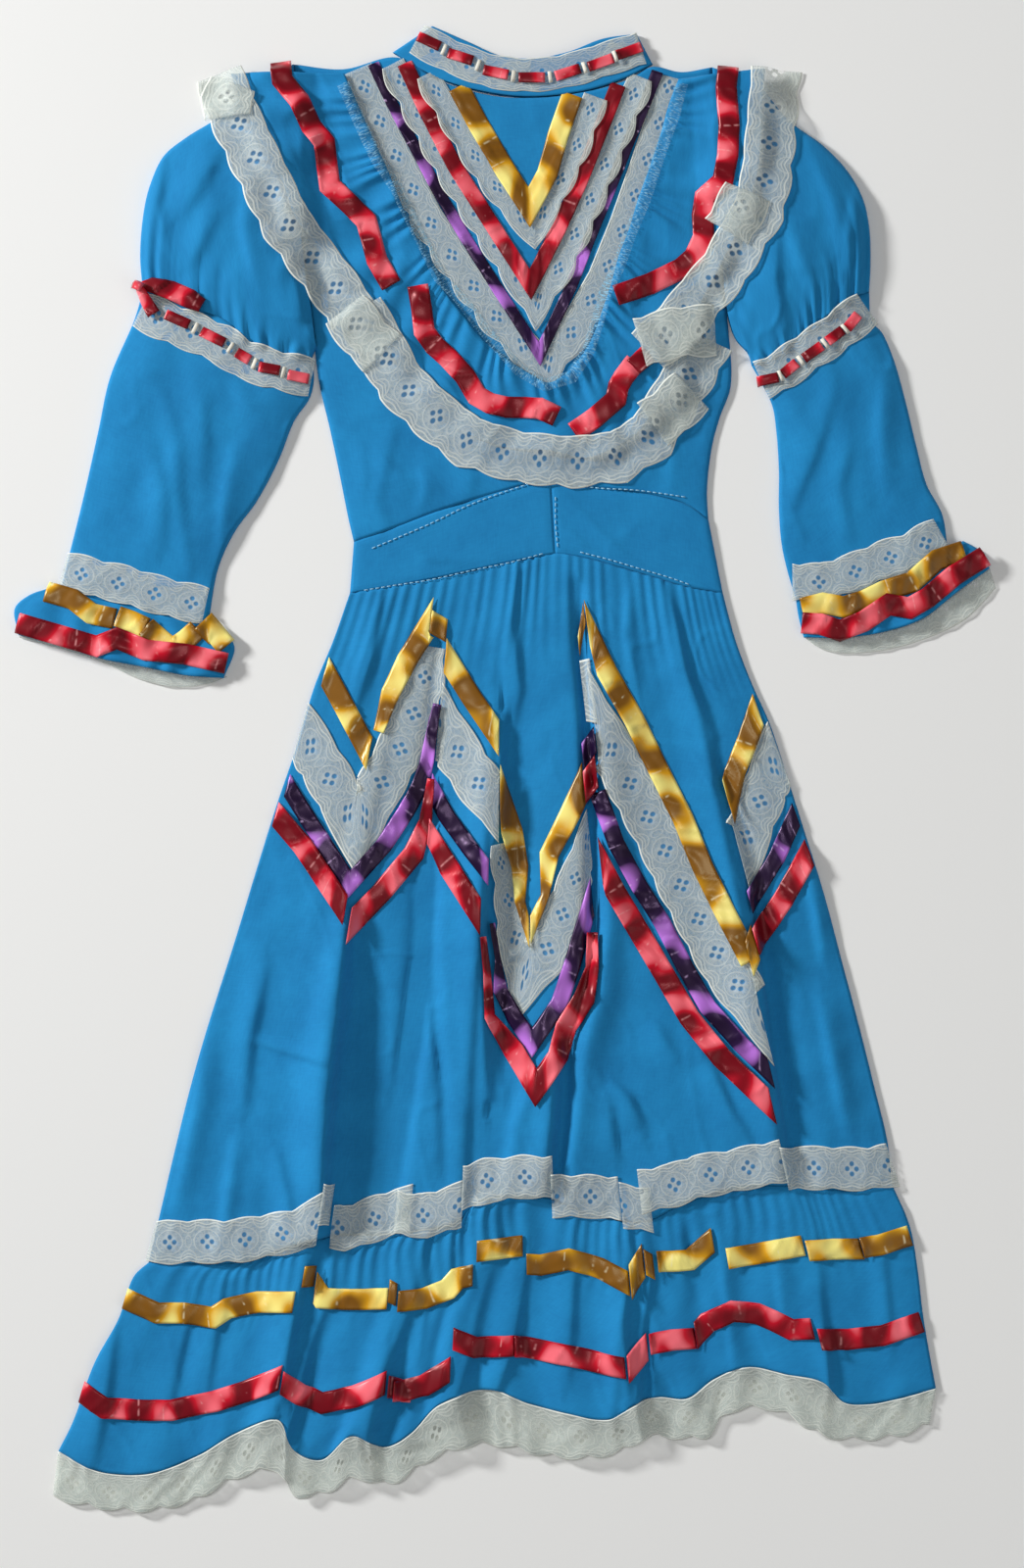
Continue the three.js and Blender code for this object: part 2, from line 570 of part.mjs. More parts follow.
function add(name, geometry, finish) {
  const mesh = new THREE.Mesh(geometry, new THREE.MeshStandardMaterial(finishes[finish]));
  mesh.name = name;
  group.add(mesh);
}

const wave = turns => 0.5 - 0.5 * Math.cos(2 * Math.PI * turns);
const rise = share => Math.sqrt(Math.max(Math.sin(Math.PI * share), 0));

// The ruffle's stations: its seam on the bodice, its free edge, and how far its lace reaches past that edge
const stations = RUFFLE_SEAM.map(([x, y], i) => {
  const seam = new THREE.Vector3(x, y, 0);
  const edge = new THREE.Vector3(...RUFFLE_EDGE[i], 0);
  const outwards = new THREE.Vector3().subVectors(edge, seam).normalize();
  const past = edge.clone().addScaledVector(outwards, RUFFLE_LACE);
  const clear = seam.clone().addScaledVector(outwards, -2 * SEAM);
  return { seam, edge, past, clear };
});
const along = key => new THREE.CatmullRomCurve3(stations.map(s => s[key]), false, "centripetal");
const [seamLine, edgeLine, pastLine, clearLine] = ["seam", "edge", "past", "clear"].map(along);
const flatPoints = path => path.getPoints(2 * RUFFLE_WAVES).map(p => [p.x, p.y]);
const ruffleOutline = [...flatPoints(seamLine), ...flatPoints(edgeLine).reverse()];
const ruffleClear = [...flatPoints(clearLine), ...flatPoints(edgeLine).reverse()];

// Bodice
const bodiceEdges = [SHOULDERS, BODICE_WAIST, BODICE_LEFT, BODICE_RIGHT];
const bodice = sheet(patch(bodiceEdges), 10, 7, [290, 350], (u, v) =>
  FRONT + 3 * rise(u) + 1.5 * wave(5 * u) * Math.max(v - 0.7, 0));
add("bodice_front", wall(bodice, 0, CLOTH), "cloth");
layDown(bodice, CLOTH);

// Trim on the yoke: each ribbon keeps its place, and the laces end beside it
const yoke = {
  purple: strip(YOKE_RIBBON_OUTER, YOKE_PURPLE_RIBBON),
  red: strip(YOKE_RIBBON_MIDDLE, YOKE_RED_RIBBON),
  yellow: strip(YOKE_RIBBON_INNER, RIBBON),
};
const clear = {
  purple: strip(YOKE_RIBBON_OUTER, YOKE_PURPLE_RIBBON + 2 * SEAM),
  red: strip(YOKE_RIBBON_MIDDLE, YOKE_RED_RIBBON + 2 * SEAM),
  yellow: strip(YOKE_RIBBON_INNER, RIBBON + 2 * SEAM),
};
add("yoke_ribbon_purple", trim(bodice, yoke.purple, [clear.red]), "purple");
add("yoke_ribbon_red", trim(bodice, yoke.red, [clear.yellow]), "red");
add("yoke_ribbon_yellow", trim(bodice, yoke.yellow), "gold");
const outerLace = strip(YOKE_LACE_OUTER, YOKE_LACES.outer);
add("yoke_lace_outer", trim(bodice, outerLace, [clear.purple, ruffleClear]), "lace");
const middleLace = strip(YOKE_LACE_MIDDLE, YOKE_LACES.middle);
add("yoke_lace_middle", trim(bodice, middleLace, [clear.purple, clear.red]), "lace");
const innerLace = strip(YOKE_LACE_INNER, YOKE_LACES.inner);
add("yoke_lace_inner", trim(bodice, innerLace, [clear.red, clear.yellow]), "lace");

// Waistband, in two halves that meet below the yoke's point
const CENTRE = [[35, 218], [38, 164]];
const leftSide = [BODICE_WAIST[0], SKIRT_TOP[0]];
const bandLeftPatch = patch([BAND_LEFT_TOP, BAND_LEFT_FOOT, leftSide, CENTRE]);
const bandLeft = sheet(bandLeftPatch, 8, 2, [155, 45], u => FRONT + 3 * rise(u / 2));
add("waistband_left", cutClear(wall(bandLeft, 0, CLOTH), bodice), "cloth");
const rightSide = [BODICE_WAIST.at(-1), SKIRT_TOP.at(-1)];
const bandRightPatch = patch([BAND_RIGHT_TOP, BAND_RIGHT_FOOT, CENTRE, rightSide]);
const bandRight = sheet(bandRightPatch, 8, 2, [125, 55], u => FRONT + 3 * rise(0.5 + u / 2));
add("waistband_right", cutClear(wall(bandRight, 0, CLOTH), bodice), "cloth");

// The back of the bodice is one panel from the neck to the skirt's seam, under the front and the waistband
const plan = points => points.map(p => [p.x, p.y]);
const side = (rows, at) => plan(rows.map(row => row.at(at)));
add("bodice_back", block([
  ...plan(bodice[0]),
  ...side(bodice, -1).slice(1),
  ...plan([...bandLeft.at(-1), ...bandRight.at(-1)]).reverse(),
  ...side(bodice, 0).slice(1).reverse(),
], 0, CLOTH), "cloth");

// Skirt: the sheet's columns follow the table of folds
const skirtPatch = patch([SKIRT_TOP, SKIRT_FOOT, SKIRT_LEFT, SKIRT_RIGHT]);
const SKIRT_ROWS = 9;
const skirt = [];
for (let j = 0; j <= SKIRT_ROWS; j++) {
  const v = short(j / SKIRT_ROWS, 500);
  skirt.push(SKIRT_FOLDS.map(fold => {
    const point = skirtPatch(short(THREE.MathUtils.lerp(fold.top, fold.foot, v ** 3), 400), v);
    const upper = fold.high + (fold.middle - fold.high) * THREE.MathUtils.smoothstep(v, 0, 0.5);
    const lower = fold.middle + (fold.low - fold.middle) * THREE.MathUtils.smoothstep(v, 0.5, 1);
    point.z = v < 0.5 ? upper : lower;
    return point;
  }));
}
add("skirt_front", wall(skirt, 0, CLOTH), "cloth");
add("skirt_back", block(edgeOf(skirt, 0), 0, CLOTH), "cloth");

// Zigzag on the skirt: four stretches between the folds, each with a lace and three ribbons
const ZIGZAG = {
  gold: [GOLD_1, GOLD_2, GOLD_3, GOLD_4],
  purple: [PURPLE_1, PURPLE_2, PURPLE_3, PURPLE_4],
  red: [RED_1, RED_2, RED_3, RED_4],
};
const LACES = [LACE_1, LACE_2, LACE_3, LACE_4];
const STRETCHES = named(["from", "to"], [[0, 8], [9, 12], [14, 18], [19, 21]]);
STRETCHES.forEach(({ from, to }, i) => {
  const cloth = skirt.map(row => row.slice(from, to + 1));
  const [gold, purple, red] = [ZIGZAG.gold[i], ZIGZAG.purple[i], ZIGZAG.red[i]];
  const besideGold = strip(gold, RIBBON + 2 * SEAM);
  const besidePurple = strip(purple, PURPLE_RIBBON + 2 * SEAM);
  const lace = drop(LACES[i], SKIRT_LACE_RISE);
  add(`zigzag_lace_${i + 1}`, trim(cloth, lace, [besideGold, besidePurple]), "lace");
  add(`zigzag_gold_${i + 1}`, trim(cloth, strip(gold, RIBBON)), "gold");
  add(`zigzag_purple_${i + 1}`, trim(cloth, strip(purple, PURPLE_RIBBON)), "purple");
  add(`zigzag_red_${i + 1}`, trim(cloth, strip(red, RIBBON), [besidePurple]), "red");
});
add("flounce_seam_lace", trim(skirt, strip(SEAM_LACE, SEAM_LACE_WIDTH)), "lace");

// Flounce: gathers that open towards the hem, and the larger folds
function flounceHeight(u, v) {
  const gathers = (1.2 + 1.6 * v) * wave(FLOUNCE_GATHERS * u);
  let height = FRONT + 3 * rise(u) + gathers * rise(u);
  for (const { at, height: top, reach } of FLOUNCE_FOLDS) {
    const side = (u - at) / (u < at ? reach : reach / 5);
    height += top * (0.3 + 0.7 * v) * Math.exp(-side * side);
  }
  return height;
}
const flouncePatch = patch([SKIRT_FOOT, HEM, FLOUNCE_LEFT, FLOUNCE_RIGHT]);
const flounce = sheet(flouncePatch, 2 * FLOUNCE_GATHERS, 3, [600, 150], flounceHeight);
add("flounce_front", cutClear(wall(flounce, 0, CLOTH), skirt), "cloth");
add("flounce_back", cutClear(block(edgeOf(flounce, 0), 0, CLOTH), skirt), "cloth");
add("flounce_ribbon_gold", trim(flounce, strip(FLOUNCE_GOLD, RIBBON)), "gold");
add("flounce_ribbon_red", trim(flounce, strip([...FLOUNCE_RED_1, ...FLOUNCE_RED_2], RIBBON)), "red");

// Lace round the hem, which hangs past the cloth with its scallops
const hemEnds = [[HEM[0], HEM_EDGE[0]], [HEM.at(-1), HEM_EDGE.at(-1)]];
const hemPatch = patch([lowered(HEM, SEAM), HEM_EDGE, ...hemEnds]);
const HEM_LENGTH = 760;
const hemColumns = 2 * Math.round(HEM_LENGTH / SCALLOP);
const hemLace = sheet((u, v) => {
  const point = hemPatch(u, v);
  point.y += v * SCALLOP_DEPTH * wave((u * HEM_LENGTH) / SCALLOP);
  return point;
}, hemColumns, 1, [760, 40], (u, v) => flounceHeight(u, 1) * (1 - 0.3 * v) + 0.5);
add("hem_lace_front", cutClear(wall(hemLace, 0, TRIM), flounce), "lace");
const hemBack = [...lowered(HEM, 2 * SEAM), ...HEM_EDGE.slice().reverse()];
add("hem_lace_back", cutClear(block(hemBack, 0, TRIM), flounce), "lace");

// Sleeves: a puff gathered into the armhole and into the band, a lower sleeve, and a flounced cuff
const SLEEVES = {
  left: {
    puff: [PUFF_LEFT_HEAD, BAND_SEAM_LEFT, PUFF_LEFT_OUTER, PUFF_LEFT_UNDER],
    lower: [BAND_SEAM_LEFT, SLEEVE_LEFT_WRIST, LOWER_LEFT_OUTER, LOWER_LEFT_UNDER],
    cuff: [CUFF_LEFT_TOP, CUFF_LEFT_FOOT, CUFF_LEFT_OUTER, CUFF_LEFT_INNER],
    band: SLEEVE_BAND_LEFT,
    lace: CUFF_LACE_LEFT,
    gold: CUFF_GOLD_LEFT,
    red: CUFF_RED_LEFT,
    edge: CUFF_LEFT_EDGE,
  },
  right: {
    puff: [PUFF_RIGHT_HEAD, BAND_SEAM_RIGHT, PUFF_RIGHT_OUTER, PUFF_RIGHT_UNDER],
    lower: [BAND_SEAM_RIGHT, SLEEVE_RIGHT_WRIST, LOWER_RIGHT_OUTER, LOWER_RIGHT_UNDER],
    cuff: [CUFF_RIGHT_TOP, CUFF_RIGHT_FOOT, CUFF_RIGHT_OUTER, CUFF_RIGHT_INNER],
    band: SLEEVE_BAND_RIGHT,
    lace: CUFF_LACE_RIGHT,
    gold: CUFF_GOLD_RIGHT,
    red: CUFF_RED_RIGHT,
    edge: CUFF_RIGHT_EDGE,
  },
};
for (const [side, made] of Object.entries(SLEEVES)) {
  const puff = sheet(patch(made.puff), 2 * PUFF_GATHERS, 5, [180, 60], (u, v) =>
    TUBE_EDGE + 11 * rise(u) * Math.sin(Math.PI * (0.12 + 0.76 * v)) +
    1.5 * wave(PUFF_GATHERS * u) * (2 * v - 1) ** 2);
  add(`sleeve_puff_${side}`, cutClear(tube(puff), bodice), "cloth");
  layDown(puff, 0);
  const lower = sheet(patch(made.lower), 8, 6, [170, 220], (u, v) =>
    TUBE_EDGE + (5 - 2 * v) * rise(u) + 1.5 * wave(3 * u) * (1 - v));
  add(`sleeve_lower_${side}`, cutClear(tube(lower), puff), "cloth");
  layDown(lower, 0);
  add(`cuff_lace_${side}`, trim(lower, strip(made.lace, CUFF_LACE), [], 0), "lace");
  const cuff = sheet(patch(made.cuff), 2 * CUFF_GATHERS, 2, [150, 35], (u, v) =>
    TUBE_EDGE + 3 * rise(u) + 2 * v * wave(CUFF_GATHERS * u));
  add(`cuff_flounce_${side}`, cutClear(tube(cuff), lower), "cloth");
  const gold = strip(made.gold, RIBBON + 2 * SEAM);
  add(`cuff_ribbon_gold_${side}`, trim(cuff, strip(made.gold, RIBBON), [], 0), "gold");
  add(`cuff_ribbon_red_${side}`, trim(cuff, strip(made.red, RIBBON), [gold], 0), "red");
  const foot = lowered(made.cuff[1], 2 * SEAM);
  const ends = [[foot[0], made.edge[0]], [foot.at(-1), made.edge.at(-1)]];
  const edgePatch = patch([foot, made.edge, ...ends]);
  const edge = sheet(edgePatch, 12, 1, [150, 15], () => 0);
  add(`cuff_edge_lace_${side}`, wall(edge, 0, TRIM), "lace");
  add(`sleeve_band_lace_${side}`, trim(lower, strip(made.band, BAND_LACE), [], 0), "lace");
  layDown(lower, SEAM + TRIM);
}

// Collar: a band of beading lace round the neck, folded flat
const collar = sheet(patch([COLLAR_TOP, COLLAR_FOOT, COLLAR_LEFT, COLLAR_RIGHT]), 12, 2, [190, 28],
  u => TUBE_EDGE + 2.5 * rise(u));
add("collar", tube(collar), "lace");

// Ruffle over the shoulders, with its lace past the cloth's free edge
const RUFFLE_ROWS = 4;
const ruffle = [];
for (let j = 0; j <= RUFFLE_ROWS; j++) {
  const v = j / RUFFLE_ROWS;
  ruffle.push([]);
  for (let i = 0; i <= 2 * RUFFLE_WAVES; i++) {
    const u = i / (2 * RUFFLE_WAVES);
    const point = seamLine.getPoint(u).lerp(pastLine.getPoint(u), v);
    point.z = highest(point, DRAPE) + SEAM + (0.6 + 1.8 * v) * wave(RUFFLE_WAVES * u);
    ruffle[j].push(point);
  }
}
const ruffleCloth = solidOf(wall(ruffle, 0, CLOTH)).intersect(solidOf(block(ruffleOutline, ...CUTTER)));
add("shoulder_ruffle", geometryOf(ruffleCloth), "cloth");
[RUFFLE_RIBBON_1, RUFFLE_RIBBON_2, RUFFLE_RIBBON_3].forEach((middle, i) => {
  add(`ruffle_ribbon_red_${i + 1}`, trim(ruffle, strip(middle, RIBBON)), "red");
});
const frontLace = strip(RUFFLE_LACE_2, RUFFLE_LACE + 2 * SEAM);
const frontRibbon = strip(RUFFLE_RIBBON_2, RIBBON + 2 * SEAM);
const rightRibbon = strip(RUFFLE_RIBBON_3, RIBBON + 2 * SEAM);
add("ruffle_lace_1", trim(ruffle, strip(RUFFLE_LACE_1, RUFFLE_LACE), [frontLace]), "lace");
add("ruffle_lace_2", trim(ruffle, strip(RUFFLE_LACE_2, RUFFLE_LACE), [frontRibbon]), "lace");
add("ruffle_lace_3", trim(ruffle, strip(RUFFLE_LACE_3, RUFFLE_LACE), [frontLace, rightRibbon]), "lace");

// Bow at the left sleeve's band: a flattened loop of ribbon with its tail
const bowEnds = [[BOW_TOP[0], BOW_FOOT[0]], [BOW_TOP.at(-1), BOW_FOOT.at(-1)]];
const bow = sheet(patch([BOW_TOP, BOW_FOOT, ...bowEnds]), 6, 2, [50, 14], (u, v, point) =>
  highest(point, CELL) + 2 * rise(u) * rise(v));
add("sleeve_bow_left", wall(bow, 0, TRIM), "red");

export default group;
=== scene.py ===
"""A girl's festive folk dress, laid flat on a pale floor and seen from straight above.

The tables are in millimetres, +X to the viewer's right, +Y towards the collar, +Z up from the floor, and
every mesh is in metres. The back lies flat, and the front lies on it with its folds, trims and gathers.
"""
import math

import bpy
import numpy as np
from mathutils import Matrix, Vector


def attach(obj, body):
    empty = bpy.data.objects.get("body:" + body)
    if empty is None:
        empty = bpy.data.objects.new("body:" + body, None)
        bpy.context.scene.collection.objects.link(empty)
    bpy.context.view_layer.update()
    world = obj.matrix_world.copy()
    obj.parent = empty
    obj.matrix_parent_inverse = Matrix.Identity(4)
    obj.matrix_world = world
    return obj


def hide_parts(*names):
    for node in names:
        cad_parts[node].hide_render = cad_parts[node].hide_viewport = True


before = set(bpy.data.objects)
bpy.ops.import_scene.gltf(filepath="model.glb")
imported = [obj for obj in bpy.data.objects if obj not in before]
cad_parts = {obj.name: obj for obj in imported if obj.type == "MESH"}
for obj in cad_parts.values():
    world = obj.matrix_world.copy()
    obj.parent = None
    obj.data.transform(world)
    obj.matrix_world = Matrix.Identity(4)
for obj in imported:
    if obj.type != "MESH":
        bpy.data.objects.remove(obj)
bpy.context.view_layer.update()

# Sizes in millimetres
MM = 0.001
CLOTH = 1.2  # height from the low side of a cloth layer to its face
TRIM = 1.0  # height from the floor to the face of the lace on the hem's back
FRONT = 1.5  # the lowest that the front layer lies
TUBE_EDGE = 3.4  # height of a flattened sleeve along its folded edges
EDGE_REACH = 2.5  # how far in from a folded edge the tube's round side goes
POPLIN = 0.5  # thickness of the cloth's shell
SATIN = 0.35
LACE = 0.45
GAP = 0.15  # air between a trim and what it is sewn on
RIBBON = 16
PURPLE_RIBBON = 13
YOKE_PURPLE_RIBBON = 9
YOKE_RED_RIBBON = 12
SKIRT_LACE = 33
YOKE_LACES = {"inner": 13, "middle": 14, "outer": 15}
RUFFLE_LACE = 36
SEAM_LACE_WIDTH = 30
BAND_LACE = 27
CUFF_LACE = 26
SCALLOP = 29  # pitch of the lace's scallops
SCALLOP_DEPTH = 4  # how deep the scallops of the hem's lace are
LATTICE = 97  # the count of random numbers each way before noise repeats
MITRE = 0.45  # the sharpest that a strip's corner is drawn out to
LACE_SHARES = 40  # the third number of a lace's lay runs from 0 at its left side to this at its right
YOKE_LAP = 4  # how far a lace of the yoke laps the ribbon beside it
HEM_LONG = 760  # about the length of the hem, which sets the number of its scallops
COLLAR_LACE = 24  # the width of the lace on the collar
THREADED = 8  # the width of the ribbon threaded through the collar and the sleeve bands
BOW_RIBBON = 15
GATHER_BAND = 10  # the width of the band of stitches over the gathers
BOTH = (2.2, 2.2)  # the depth of the scallops along both sides of a lace
SATINS = ("gold", "red", "purple")

# Every table of an edge or of a middle line has two columns, x and y, with a row for each of its turns.
# Bodice
SHOULDERS = [
  [-162, 538], [-124, 534], [-83, 543], [-50, 525], [-12, 514], [22, 512], [63, 517], [93, 526],
  [112, 536], [134, 532], [158, 536],
]
BODICE_LEFT = [
  [-162, 538], [-158, 476], [-156, 400], [-148, 340], [-143, 297], [-134, 258], [-126, 220],
  [-120, 190], [-116, 173],
]
BODICE_RIGHT = [
  [158, 536], [160, 476], [164, 400], [170, 340], [172, 292], [164, 269], [158, 247], [154, 213],
  [155, 190],
]
BODICE_WAIST = [
  [-116, 173], [-87, 183], [-50, 197], [-12, 209], [22, 218], [35, 218], [63, 215], [100, 211],
  [138, 202], [155, 190],
]
# Waistband
BAND_LEFT_TOP = [[-116, 173], [-87, 183], [-50, 197], [-12, 209], [22, 218], [35, 218]]
BAND_LEFT_FOOT = [[-119, 134], [-87, 139], [-50, 146], [-12, 154], [22, 161], [38, 164]]
BAND_RIGHT_TOP = [[35, 218], [63, 215], [100, 211], [138, 202], [155, 190]]
BAND_RIGHT_FOOT = [[38, 164], [63, 160], [100, 150], [138, 139], [166, 134]]
# Skirt
SKIRT_TOP = [
  [-119, 134], [-87, 139], [-50, 146], [-12, 154], [22, 161], [38, 164], [63, 160], [100, 150],
  [138, 139], [166, 134],
]
SKIRT_LEFT = [
  [-119, 134], [-132, 97], [-146, 63], [-160, 16], [-175, -28], [-190, -76], [-207, -132],
  [-226, -192], [-241, -244], [-254, -297], [-273, -378],
]
SKIRT_RIGHT = [
  [166, 134], [176, 97], [189, 63], [202, 34], [217, -12], [230, -53], [245, -102], [258, -151],
  [270, -196], [282, -244], [292, -286], [295, -317],
]
SKIRT_FOOT = [
  [-273, -378], [-200, -376], [-143, -358], [-87, -356], [-38, -346], [-20, -331], [29, -327],
  [63, -340], [104, -346], [138, -331], [190, -318], [266, -322], [295, -317],
]
# Flounce
FLOUNCE_LEFT = [[-273, -378], [-284, -388], [-296, -421], [-314, -454], [-331, -500], [-342, -522]]
FLOUNCE_RIGHT = [[295, -317], [309, -350], [315, -383], [319, -417], [324, -447], [329, -474]]
HEM = [
  [-342, -522], [-312, -537], [-274, -539], [-237, -526], [-207, -508], [-173, -496], [-162, -520],
  [-141, -528], [-117, -508], [-93, -518], [-72, -507], [-50, -484], [-12, -474], [18, -485],
  [48, -492], [78, -496], [100, -484], [116, -480], [138, -481], [160, -466], [183, -457],
  [213, -462], [242, -468], [258, -484], [277, -486], [303, -481], [329, -474],
]
HEM_EDGE = [
  [-346, -560], [-301, -568], [-267, -568], [-237, -560], [-207, -544], [-175, -537], [-160, -557],
  [-136, -554], [-116, -543], [-88, -548], [-64, -533], [-42, -522], [-21, -518], [3, -520],
  [33, -527], [70, -527], [93, -520], [108, -512], [130, -513], [154, -512], [168, -495],
  [190, -490], [213, -494], [234, -507], [250, -513], [299, -512], [324, -503],
]
# Sleeves: the puff from the armhole to the lace band, and the lower sleeve from the band to the wrist
PUFF_LEFT_HEAD = [[-162, 538], [-157, 476], [-155, 400], [-148, 345], [-145, 322]]
PUFF_LEFT_OUTER = [
  [-162, 538], [-190, 522], [-220, 497], [-244, 482], [-261, 468], [-271, 447], [-276, 427],
  [-279, 393], [-277, 365],
]
PUFF_LEFT_UNDER = [[-145, 322], [-149, 313]]
BAND_SEAM_LEFT = [
  [-277, 365], [-263, 358], [-237, 350], [-213, 341], [-197, 326], [-173, 317], [-149, 313],
]
LOWER_LEFT_OUTER = [
  [-277, 365], [-283, 344], [-302, 299], [-311, 258], [-321, 213], [-332, 168], [-340, 136],
]
LOWER_LEFT_UNDER = [
  [-149, 313], [-147, 300], [-150, 284], [-162, 266], [-174, 236], [-191, 204], [-207, 182], [-220, 154],
  [-228, 110],
]
SLEEVE_LEFT_WRIST = [[-340, 136], [-312, 129], [-278, 121], [-252, 114], [-228, 110]]
PUFF_RIGHT_HEAD = [[158, 536], [160, 476], [164, 400], [170, 345], [176, 328], [186, 317]]
PUFF_RIGHT_OUTER = [
  [158, 536], [190, 525], [217, 495], [243, 476], [262, 456], [273, 436], [278, 414], [279, 385],
  [278, 364],
]
PUFF_RIGHT_UNDER = [[186, 317], [188, 308]]
BAND_SEAM_RIGHT = [[278, 364], [265, 359], [247, 346], [224, 329], [206, 313], [188, 308]]
LOWER_RIGHT_OUTER = [
  [278, 364], [280, 342], [288, 333], [297, 312], [306, 280], [314, 247], [322, 217], [334, 194],
  [338, 168],
]
LOWER_RIGHT_UNDER = [
  [188, 308], [196, 294], [204, 277], [207, 258], [209, 228], [209, 198], [211, 172], [215, 153], [222, 129],
]
SLEEVE_RIGHT_WRIST = [[338, 168], [310, 152], [288, 144], [258, 135], [222, 129]]
# Cuff flounces
CUFF_LEFT_TOP = [
  [-350, 137], [-340, 136], [-312, 129], [-278, 121], [-252, 114], [-228, 110], [-222, 107],
]
CUFF_LEFT_FOOT = [[-372, 102], [-342, 94], [-310, 84], [-274, 77], [-244, 71], [-216, 69]]
CUFF_LEFT_OUTER = [[-350, 137], [-364, 132], [-375, 122], [-372, 102]]
CUFF_LEFT_INNER = [[-222, 107], [-208, 94], [-216, 69]]
CUFF_RIGHT_TOP = [[350, 174], [338, 168], [310, 152], [288, 144], [258, 135], [222, 129]]
CUFF_RIGHT_FOOT = [[370, 153], [344, 134], [318, 114], [288, 104], [258, 100], [228, 100]]
CUFF_RIGHT_OUTER = [[350, 174], [363, 166], [370, 153]]
CUFF_RIGHT_INNER = [[222, 129], [224, 116], [228, 100]]
CUFF_LEFT_EDGE = [
  [-372, 100], [-342, 92], [-310, 82], [-282, 69], [-252, 62], [-226, 65], [-213, 70],
]
CUFF_RIGHT_EDGE = [[375, 138], [352, 114], [318, 98], [288, 90], [258, 88], [240, 92], [230, 99]]
# Collar
COLLAR_TOP = [[-56, 567], [-27, 554], [-4, 544], [22, 542], [48, 547], [74, 557], [100, 561]]
COLLAR_FOOT = [[-86, 547], [-51, 527], [-12, 516], [22, 513], [63, 518], [93, 528], [112, 538]]
COLLAR_LEFT = [[-56, 567], [-86, 547]]
COLLAR_RIGHT = [[100, 561], [112, 538]]
# Trim on the yoke, from the left shoulder round the point of the V
YOKE_LACE_OUTER = [
  [-113, 534], [-100, 504], [-83, 468], [-60, 422], [-34, 382], [-4, 342], [30, 306], [54, 339],
  [74, 374], [91, 416], [105, 456], [117, 492], [126, 528],
]
YOKE_RIBBON_OUTER = [
  [-101, 538], [-87, 508], [-69, 474], [-50, 438], [-30, 404], [-8, 369], [26, 316], [51, 370],
  [64, 404], [78, 438], [93, 476], [105, 504], [116, 532],
]
YOKE_LACE_MIDDLE = [
  [-86, 538], [-66, 501], [-44, 460], [-18, 418], [4, 384], [23, 354], [39, 380], [57, 418],
  [72, 454], [88, 494], [103, 528],
]
YOKE_RIBBON_MIDDLE = [
  [-77, 538], [-60, 501], [-39, 460], [-15, 422], [19, 369], [40, 411], [56, 446], [72, 486],
  [86, 522],
]
YOKE_LACE_INNER = [
  [-60, 530], [-40, 496], [-18, 460], [3, 432], [21, 411], [34, 435], [51, 468], [68, 513],
]
YOKE_RIBBON_INNER = [[-36, 520], [-20, 490], [0, 456], [18, 428], [32, 454], [40, 483], [51, 514]]
# Ruffle over the shoulders: seam and free edge, station by station
RUFFLE_SEAM = [
  [-123, 530], [-113, 507], [-100, 478], [-88, 452], [-76, 422], [-63, 395], [-52, 375], [-46, 363],
  [-33, 346], [-18, 328], [1, 312], [20, 300], [32, 294], [42, 298], [56, 312], [66, 328], [74, 350],
  [80, 368], [86, 390], [94, 411], [101, 434], [109, 456], [118, 483], [125, 508], [132, 526],
]
RUFFLE_EDGE = [
  [-210, 531], [-200, 504], [-186, 476], [-170, 447], [-158, 416], [-135, 392], [-120, 369],
  [-108, 348], [-90, 320], [-69, 291], [-44, 264], [-6, 246], [33, 242], [64, 237], [96, 252],
  [111, 268], [132, 294], [138, 324], [150, 356], [166, 387], [182, 420], [191, 449], [195, 483],
  [196, 510], [198, 534],
]
RUFFLE_LACE_1 = [
  [-219, 531], [-210, 506], [-196, 476], [-182, 447], [-166, 414], [-146, 388], [-129, 366],
  [-116, 346],
]
RUFFLE_LACE_2 = [
  [-111, 350], [-96, 324], [-80, 294], [-57, 272], [-28, 249], [10, 238], [50, 234], [86, 238],
  [111, 254], [126, 279], [142, 304], [154, 328],
]
RUFFLE_LACE_3 = [
  [108, 318], [132, 340], [150, 362], [166, 380], [177, 400], [192, 424], [198, 453], [201, 483],
  [204, 510], [206, 534],
]
RUFFLE_RIBBON_1 = [
  [-172, 540], [-170, 524], [-157, 508], [-148, 489], [-138, 477], [-136, 459], [-134, 444],
  [-118, 429], [-106, 417], [-102, 402], [-98, 387], [-87, 368],
]
RUFFLE_RIBBON_2 = [
  [[-67, 368], [-64, 350], [-62, 333], [-54, 322], [-44, 313], [-31, 299], [-22, 284], [-12, 278],
   [1, 275], [14, 275], [26, 274], [39, 268]],
  [[52, 256], [68, 267], [84, 281], [86, 291], [90, 298], [99, 310]],
  [[98, 316], [103, 311], [108, 305]],
]
RUFFLE_RIBBON_3 = [
  [170, 536], [168, 519], [170, 489], [169, 466], [165, 446], [152, 435], [150, 422], [151, 405],
  [144, 390], [134, 381], [110, 369], [84, 360],
]
# Sleeve bands
SLEEVE_BAND_LEFT = [
  [-279, 350], [-260, 341], [-237, 332], [-218, 324], [-202, 313], [-181, 305], [-148, 298],
]
SLEEVE_BAND_RIGHT = [[276, 351], [262, 340], [247, 328], [228, 316], [212, 304], [195, 296]]
